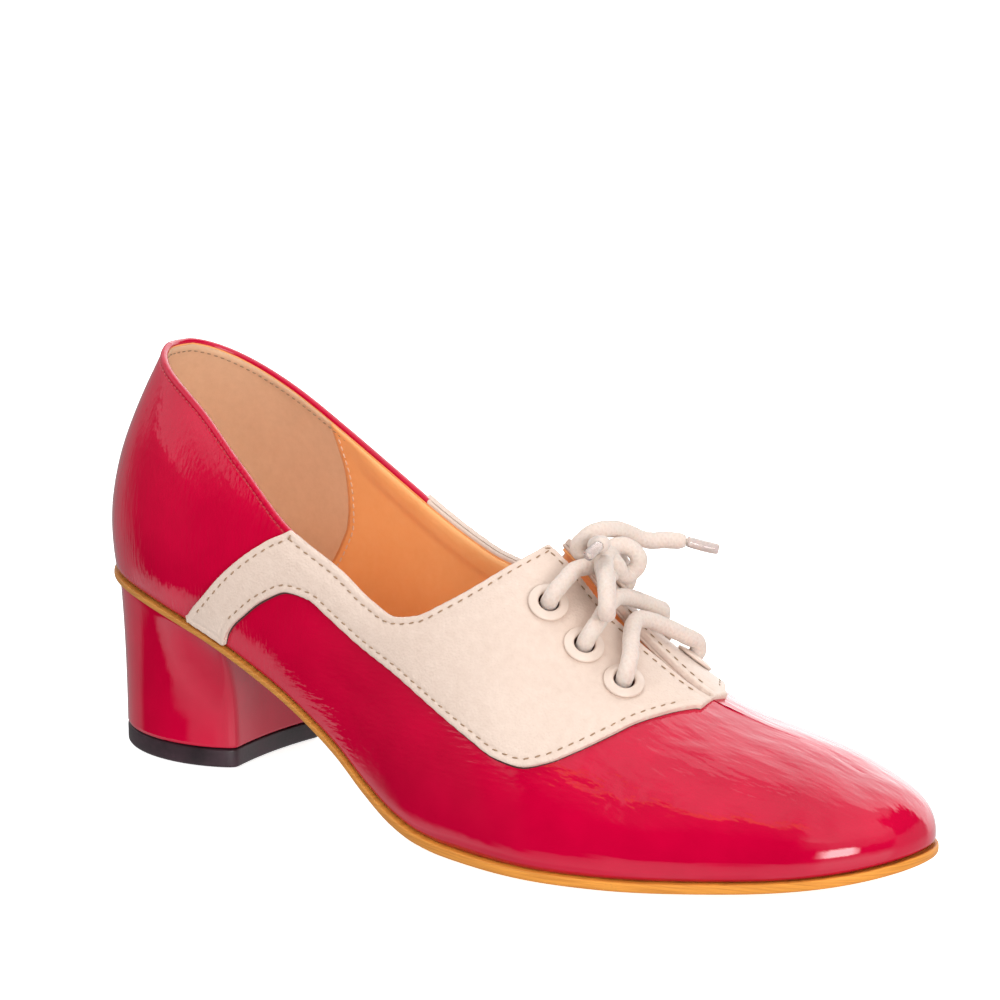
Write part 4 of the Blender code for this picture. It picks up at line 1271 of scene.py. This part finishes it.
def saddle_stitches(name, side):
    x, angles, low, high = saddle_edges(side)
    level = GAP + SADDLE_THICK - SADDLE_GROOVE
    lines = []
    for t, way, (first, end) in ((low, 1, SADDLE_ROW_LOW), (high, -1, SADDLE_ROW_HIGH)):
        normals = last_normal(angles, t)
        edge = skin(angles, t, np.full(len(x), level))
        line = inset_line(edge, normals, -way * side, SADDLE_STITCH)
        near_top = (way < 0) & (x > HIGH_ROW_SINK_X)
        line = line - np.where(near_top, HIGH_ROW_SINK, 0.0)[:, None] * normals
        chosen = (x > first) & (x < end)
        lines.append((line[chosen], normals[chosen]))
    stitched(f"{name}_stitches", lines, TAUPE)


for label, hand in (("saddle_lateral", -1), ("saddle_medial", 1)):
    build_saddle(label, hand)
    saddle_stitches(label, hand)


def collar_stitches():
    """Red thread round the outside of the collar and taupe thread at the top of its lining."""
    half = np.linspace(0.0, 1.0, 200)
    reach = angle_at(COLLAR_ROW_X, -1)
    angles = np.concatenate([-reach * half[::-1], reach * half[1:]])
    sections = Sections(np.mod(angles, 2 * math.pi))
    level = np.ones(len(angles))
    t = sections.below(level[:, None] * STITCH_BELOW)[:, 0]
    normals = last_normal(angles, t)
    line = skin(angles, t, -COLLAR_ROW_SINK * level)
    stitched("collar_stitches", [(line, normals)], RED_THREAD, pitch=1.6, length=1.2)
    t = sections.below(level[:, None] * LINING_ROW_BELOW)[:, 0]
    inner = skin(angles, t, -LINING_ROW_DEPTH * level)
    stitched("lining_top_stitches", [(inner, -normals)], TAUPE,
             pitch=1.9, length=1.1, width=0.34)


collar_stitches()


# Linings

LINING_ROWS = 40
LINING_SAMPLES = 81
LINING_START = 1.15
COUNTER_STATIONS = 150
COUNTER_END_X = 61.0
COUNTER_DEPTH = 1.90
FRONT_STATIONS = 190
FRONT_DEPTH = 2.28
FRONT_EDGE = 0.30
FRONT_EDGE_STATIONS = 1.2
FRONT_FOLD = 0.75
# Where the fold starts, is full, ends being full and stops: below the edge and along the shoe
FOLD_BELOW = (0.8, 3.5, 6.5, 11.0)
FOLD_X = (58.0, 75.0, 118.0, 132.0)
LINING_OFF_WALL = 0.03
SEAM_ROW_AHEAD = 2.2
SEAM_ROW_DEPTH = 2.30


def lining_sheet(angles, depth, fold):
    """Grid of a thin closed sheet inside the upper, and where the vamp above it is closed.

    angles holds stations by rows. fold is how far the sheet stands in below the collar.
    """
    stations, rows = angles.shape
    flat = angles.reshape(-1)
    sections = Sections(np.mod(flat, 2 * math.pi), LINING_SAMPLES)
    share = np.broadcast_to(np.linspace(0, 1, rows), angles.shape).reshape(-1)
    x = LENGTH * share_of(flat)
    closed = sections.edge >= 1.0
    start = np.where(closed, 0.0, LINING_START)
    below = start + (sections.height - start) * share
    t = sections.below(below[:, None])[:, 0]
    normal = last_normal(flat, t)
    at_ridge = closed & (share == 0)
    both_sides = normal + last_normal(2 * math.pi - flat, t)
    normal = unit(np.where(at_ridge[:, None], both_sides, normal))
    bulge = fold
    for q, (start, full, fall, end) in ((below, FOLD_BELOW), (x, FOLD_X)):
        bulge = bulge * smoothstep(start, full, q) * (1 - smoothstep(fall, end, q))
    base = last(flat, t)
    inner = (base - (depth + bulge)[:, None] * normal).reshape(stations, rows, 3)
    outer = (base - (WALL + LINING_OFF_WALL) * normal).reshape(stations, rows, 3)
    return np.concatenate([inner, outer[:, ::-1]], axis=1), closed.reshape(stations, rows)


def seam_row(side):
    """Line of stitches ahead of the seam of the two linings, with its normals."""
    share = np.linspace(0, 1, LINING_ROWS)
    angles = angle_at(read(COUNTER_SEAM, "x", share, "q") + SEAM_ROW_AHEAD, side)
    sections = Sections(np.mod(angles, 2 * math.pi), LINING_SAMPLES)
    t = sections.below((LINING_START + (sections.height - LINING_START) * share)[:, None])[:, 0]
    line = skin(angles, t, np.full(LINING_ROWS, -SEAM_ROW_DEPTH))
    return line[2:-4], -last_normal(angles, t)[2:-4]


def build_linings():
    reach = angle_at(COUNTER_END_X, -1)
    stations = np.linspace(-reach, reach, COUNTER_STATIONS)
    counter = np.broadcast_to(stations[:, None], (COUNTER_STATIONS, LINING_ROWS))
    grid, _ = lining_sheet(counter, np.full(counter.size, COUNTER_DEPTH), 0.0)
    piece("lining_counter", grid.reshape(-1, 3), tubed(grid), [COUNTER])
    points, faces, count = [], [], 0
    seam = angle_at(read(COUNTER_SEAM, "x", np.linspace(0, 1, LINING_ROWS), "q"), -1)
    throat = angle_at(THROAT_X, -1)
    share = np.linspace(0, 1, FRONT_STATIONS)[:, None]
    edge = FRONT_EDGE * np.exp(-np.arange(FRONT_STATIONS) / FRONT_EDGE_STATIONS)
    depth = np.repeat(FRONT_DEPTH - edge, LINING_ROWS)
    for side in (-1, 1):
        angles = seam + (math.pi - seam) * share
        column = np.argmin(np.abs(angles.mean(axis=1) - throat))
        angles[column] = throat
        angles[column + 1:] = np.maximum(angles[column + 1:], throat + 1e-4)
        angles[:column] = np.minimum(angles[:column], throat - 1e-4)
        ring = angles if side < 0 else 2 * math.pi - angles
        grid, closed = lining_sheet(ring, depth, FRONT_FOLD)
        cells = quads(*grid.shape[:2], wrap_columns=True)
        keep = np.ones(cells.shape[:2], bool)
        keep[closed[:-1, 0] & closed[1:, 0], -1] = False
        faces += (cells[keep] + count).tolist()
        points.append(grid.reshape(-1, 3))
        count += len(points[-1])
    piece("lining_front", np.concatenate(points), faces, [FRONT])
    stitched("lining_seam_stitches", [seam_row(-1), seam_row(1)], CREAM_THREAD,
             pitch=2.1, length=1.4, width=0.5)


build_linings()


TAB_ENDS_X = (173.0, 187.5)
TAB_HALF = 5.5
TAB_BELOW = np.array([0, 0, 2.6])
TAB_THICK = np.array([0, 0, 0.8])


def build_tab():
    """End of the vamp that shows red between the facings."""
    x = np.linspace(*TAB_ENDS_X, 30)
    columns = []
    for share in np.linspace(-1, 1, 25):
        angles = angle_at(x, -1 if share < 0 else 1)
        half = TAB_HALF * abs(share)
        t = off_ridge(angles, half) if half > 0 else np.ones(len(x))
        columns.append(last(angles, t) - TAB_BELOW)
    points = np.stack(columns, 1)
    grid = np.concatenate([points, (points - TAB_THICK)[:, ::-1]], axis=1)
    piece("vamp_tab", grid.reshape(-1, 3), tubed(grid), [PATENT], sharp=50)


build_tab()


# Sole, sock and heel


def plate(node, grow, under, over, profile, mat, stations=210, across=24):
    """Plate on the last's outline; profile gives its edge as (inset, share of the thickness) pairs."""
    side = math.pi * np.arange(stations + 1) / stations
    angles = np.concatenate([side, 2 * math.pi - side[-2:0:-1]])
    rings = []
    for inset, share in profile:
        x, y = outline(angles, grow - inset)
        low, high = under(x, y), over(x, y)
        rings.append(np.stack([x, y, low + (high - low) * share], -1))
    grid = np.stack(rings, 1)
    faces = quads(len(angles), len(profile), wrap_rows=True).reshape(-1, 4).tolist()
    points = [grid.reshape(-1, 3)]
    count = len(points[0])
    v = np.linspace(0, 1, across)[:, None]
    for inset, height in ((profile[0][0], under), (profile[-1][0], over)):
        rim = np.stack(outline(angles, grow - inset), -1)
        left = rim[:stations + 1]
        right = rim[(-np.arange(stations + 1)) % len(angles)]
        rungs = left[:, None] * (1 - v) + right[:, None] * v
        face = np.concatenate([rungs, height(rungs[..., 0], rungs[..., 1])[..., None]], axis=-1)
        faces += (quads(stations + 1, across).reshape(-1, 4) + count).tolist()
        points.append(face.reshape(-1, 3))
        count += len(points[-1])
    piece(f"{node}_board", np.concatenate(points), faces, [mat], (node,), sharp=40, weld=0.01)


def sock_under(x, y):
    return sole_top(x, y) + GAP


def sock_top(x, y):
    return sole_top(x, y) + GAP + INSOLE_THICK


EDGE_PROFILE = [(0.5, 0.0), (0.22, 0.05), (0.05, 0.16), (0.0, 0.34), (0.0, 0.66), (0.06, 0.85),
                (0.2, 0.96), (0.42, 1.0)]
SOCK_PROFILE = [(0.0, 0.0), (0.0, 0.55), (0.1, 0.82), (0.4, 0.96), (0.9, 1.0)]
plate("outsole", SOLE_MARGIN, sole_under, sole_top, EDGE_PROFILE, TAN)
plate("insole", -WALL - 2 * GAP, sock_under, sock_top, SOCK_PROFILE, SOCK)

HEEL_SIDE_POINTS = 90
BREAST_POINTS = 70
CORNER_SOFT = 2.2
# Insets of the rounded edges: by level at the foot and the seat of the heel, by height of the top lift
HEEL_FOOT = [(0.0, 0.7), (0.004, 0.2), (0.014, 0.0)]
HEEL_SEAT = [(0.985, 0.05), (0.995, 0.25), (1.0, 0.8)]
LIFT_PROFILE = [(0.0, 1.0), (0.02, 0.3), (0.09, 0.05), (0.2, 0.0), (0.85, 0.0), (0.95, 0.1), (1.0, 0.5)]


def heel_ring(level, inset=0.0):
    """Outline of the heel at a level: 0 at the top lift, 1 at the seat under the outsole."""
    reach = HEEL_WIDEST - HEEL_BACK
    turn = np.linspace(0, math.acos((HEEL_WIDEST - HEEL_BREAST) / reach), HEEL_SIDE_POINTS)
    low_x = HEEL_WIDEST - reach * np.cos(turn)
    share = (low_x - HEEL_BACK) / (HEEL_BREAST - HEEL_BACK)
    top_x = HEEL_TOP_BACK + (HEEL_TOP_BREAST - HEEL_TOP_BACK) * share
    flare = level ** HEEL_FLARE
    sides = []
    for side in (-1, 1):
        seat_x, seat_y = outline(angle_at(top_x, side), -HEEL_SEAT_INSET)
        low_y = side * HEEL_HALF_WIDTH * np.sin(turn)
        sides.append(np.stack([low_x + (seat_x - low_x) * flare, low_y + (seat_y - low_y) * flare], -1))
    lateral, medial = sides
    lateral[0, 1] = medial[0, 1] = 0
    v = np.linspace(-1, 1, BREAST_POINTS + 2)[1:-1, None]
    breast = lateral[-1] * (1 - v) / 2 + medial[-1] * (1 + v) / 2
    breast[:, 0] -= BREAST_HOLLOW * (1 - v[:, 0] ** 2)
    ring = np.concatenate([lateral, breast, medial[:0:-1]])
    reach = np.arange(-8, 9)
    weights = np.exp(-(reach / CORNER_SOFT) ** 2 / 2)
    ring = sum(w * np.roll(ring, k, axis=0) for w, k in zip(weights / weights.sum(), reach))
    along = unit(np.roll(ring, -1, axis=0) - np.roll(ring, 1, axis=0))
    ring = ring + inset * np.stack([-along[:, 1], along[:, 0]], -1)
    bottom = TOP_LIFT_THICK + GAP
    seat = sole_under(ring[:, 0], ring[:, 1]) - GAP
    return np.column_stack([ring, bottom + (seat - bottom) * level])


def stacked(name, rings, mat, node):
    """Closed body from rings of points, one above the other."""
    grid = np.stack(rings)
    piece(name, grid.reshape(-1, 3), tubed(grid), [mat], (node,), sharp=45)


def build_heel():
    side = [(level, 0.0) for level in np.linspace(0.03, 0.97, 34)]
    rings = [heel_ring(*ring) for ring in HEEL_FOOT + side + HEEL_SEAT]
    stacked("heel_wrap", rings, PATENT_HEEL, "heel_block")
    lift = []
    for share, inset in LIFT_PROFILE:
        ring = heel_ring(0.0, inset)
        ring[:, 2] = TOP_LIFT_THICK * share
        lift.append(ring)
    stacked("top_lift_rubber", lift, RUBBER, "top_lift")


build_heel()
bpy.data.objects.remove(HOLES)


# Stage and light

WARM_EDGE = (2.0, 1.05, 0.20)
LAMP = 13.0
# What gloss mirrors, by sector: the bearing where it starts (degrees, -Y at -90), then pairs of the
# ray's upward part and the brightness there. The values are fitted to the reflections in the photo.
SURROUNDINGS = [
    (-180, [(-0.90, 0.52), (-0.50, 0.50), (-0.38, 0.85), (-0.32, 0.40), (-0.05, 0.17), (0.08, 0.17),
            (0.15, 0.50), (0.24, 0.60), (0.60, 0.70), (0.95, 0.80)]),
    (-168, [(-0.90, 0.55), (-0.55, 0.50), (-0.41, 0.95), (-0.375, 0.70), (-0.355, 0.01), (0.10, 0.10),
            (0.22, 0.18), (0.26, 0.90), (0.50, 1.00), (0.60, 0.90), (0.97, 0.75)]),
    (-130, [(-0.90, 0.55), (-0.60, 0.55), (-0.42, 0.92), (-0.34, 0.55), (-0.31, 0.01), (0.20, 0.05),
            (0.31, 0.14), (0.36, 0.65), (0.46, 1.05), (0.70, 1.00), (0.97, 0.90)]),
    (-111, [(-0.60, 0.60), (-0.45, 0.88), (-0.36, 0.72), (-0.275, 0.45), (-0.255, 0.00), (0.45, 0.00),
            (0.55, 0.05), (0.715, 0.14), (0.725, WARM_EDGE), (0.755, WARM_EDGE), (0.765, 0.75),
            (0.82, 0.90), (0.95, 0.95)]),
    (-84, [(-0.60, 0.90), (-0.30, 0.85), (-0.24, 0.74), (-0.195, 0.50), (-0.175, 0.00), (0.40, 0.00),
           (0.55, 0.10), (0.765, 0.15), (0.775, WARM_EDGE), (0.80, WARM_EDGE), (0.81, 0.55),
           (0.90, 0.70), (0.97, 0.95)]),
    (-72, [(-0.60, 0.95), (-0.25, 1.00), (-0.19, 0.50), (-0.15, 0.05), (-0.06, 0.00), (0.18, 0.01),
           (0.30, 0.25), (0.44, 0.45), (0.50, 1.20), (0.65, 0.90), (0.97, 0.90)]),
    (-61, [(-0.60, 1.00), (-0.25, 1.60), (-0.12, 0.70), (-0.08, 0.60), (-0.03, LAMP), (0.14, LAMP),
           (0.22, 0.60), (0.40, 0.70), (0.50, 0.95), (0.80, 1.10), (0.97, 1.00)]),
    (-37, [(-0.60, 1.00), (-0.25, 1.60), (-0.12, 0.60), (-0.04, 0.03), (0.16, 0.05), (0.24, 0.45),
           (0.40, 0.70), (0.50, 0.95), (0.80, 1.10), (0.97, 1.00)]),
    (2, [(-0.60, 0.80), (-0.25, 0.80), (-0.10, 0.50), (0.15, 0.50), (0.24, 0.35), (0.30, 0.05),
         (0.82, 0.05), (0.88, 1.00), (0.97, 1.10)]),
    (60, [(-0.40, 0.80), (-0.20, 1.20), (-0.05, 2.00), (0.10, 2.70), (0.50, 3.00), (0.80, 2.80),
          (0.94, 2.30), (0.99, 1.40)]),
    (128, [(-0.40, 0.40), (-0.05, 0.35), (0.10, 0.40), (0.40, 0.90), (0.80, 1.50), (0.94, 1.70),
           (0.99, 1.60)]),
]
SECTOR_BLEND = 5.0
PLAIN_LIGHT = 0.65
WHITE = (1.0, 1.0, 1.0)
FLOOR_HALF = 14.0
FLOOR_Z = -0.0004
FLOOR_CORNERS = [(-1, -1), (1, -1), (1, 1), (-1, 1)]
DIFFUSE_LAMPS = [
    # name, place, target, width, height, power
    ("key", (1.05, -0.62, 0.26), (0.0, 0.0, 0.05), 0.7, 0.5, 9.5),
    ("side", (-0.25, -0.95, 0.75), (-0.02, 0.0, 0.05), 0.6, 0.5, 3.6),
    ("over", (-0.02, 0.05, 1.20), (-0.03, 0.0, 0.03), 0.5, 0.4, 3.4),
]


def surroundings(sky):
    """Brightness that gloss mirrors, by the bearing and height of the ray."""
    x, y, z = sky.split(sky.node("ShaderNodeTexCoord").outputs["Generated"])
    bearing = sky.math("ARCTAN2", y, x)
    height = sky.math("MULTIPLY_ADD", z, 0.5, 0.5)
    shade = None
    for start, stops in SURROUNDINGS + [(180, SURROUNDINGS[0][1])]:
        sector = sky.ramp(height, [((up + 1) / 2, value) for up, value in stops])
        if shade is None:
            shade = sector
            continue
        borders = math.radians(start - SECTOR_BLEND), math.radians(start + SECTOR_BLEND)
        shade = sky.mix(sky.rising(bearing, *borders), shade, sector)
    return shade


def build_world():
    """White to the camera, the surroundings to gloss and plain light to all else."""
    studio = bpy.data.worlds.new("studio")
    bpy.context.scene.world = studio
    studio.use_nodes = True
    studio.node_tree.nodes.clear()
    sky = Nodes(studio.node_tree)
    ray = sky.node("ShaderNodeLightPath")

    def glow(colour, strength=1.0):
        made = sky.node("ShaderNodeBackground")
        sky.feed(made.inputs["Color"], colour)
        made.inputs["Strength"].default_value = strength
        return made.outputs[0]

    def pick(kind, others, chosen):
        made = sky.node("ShaderNodeMixShader")
        for socket, source in zip(made.inputs, (ray.outputs[kind], others, chosen)):
            sky.link(source, socket)
        return made.outputs[0]

    light = pick("Is Glossy Ray", glow(WHITE, PLAIN_LIGHT), glow(surroundings(sky)))
    light = pick("Is Camera Ray", light, glow(WHITE))
    sky.link(light, sky.node("ShaderNodeOutputWorld").inputs[0])


def lamp(name, place, target, width, depth, power):
    light = bpy.data.lights.new(name, "AREA")
    light.shape = "RECTANGLE"
    light.size, light.size_y, light.energy = width, depth, power
    holder = bpy.data.objects.new(name, light)
    holder.location = place
    holder.rotation_euler = (Vector(target) - Vector(place)).to_track_quat("-Z", "Y").to_euler()
    holder.visible_camera = False
    holder.visible_glossy = False
    bpy.context.scene.collection.objects.link(holder)


def build_floor():
    """White ground that shows to the camera alone."""
    mesh = bpy.data.meshes.new("floor")
    corners = [(FLOOR_HALF * x, FLOOR_HALF * y, FLOOR_Z) for x, y in FLOOR_CORNERS]
    mesh.from_pydata(corners, [], [(0, 1, 2, 3)])
    floor = bpy.data.objects.new("floor", mesh)
    bpy.context.scene.collection.objects.link(floor)
    p = Paint("floor_white", Roughness=0.6, Base_Color=(0.93, 0.93, 0.93, 1.0), Emission_Color=(1, 1, 1, 1),
              Emission_Strength=0.8)
    mesh.materials.append(p.mat)
    floor.visible_glossy = False
    floor.visible_diffuse = False


build_floor()
build_world()
for spec in DIFFUSE_LAMPS:
    lamp(*spec)
bpy.context.scene.view_settings.view_transform = "Standard"
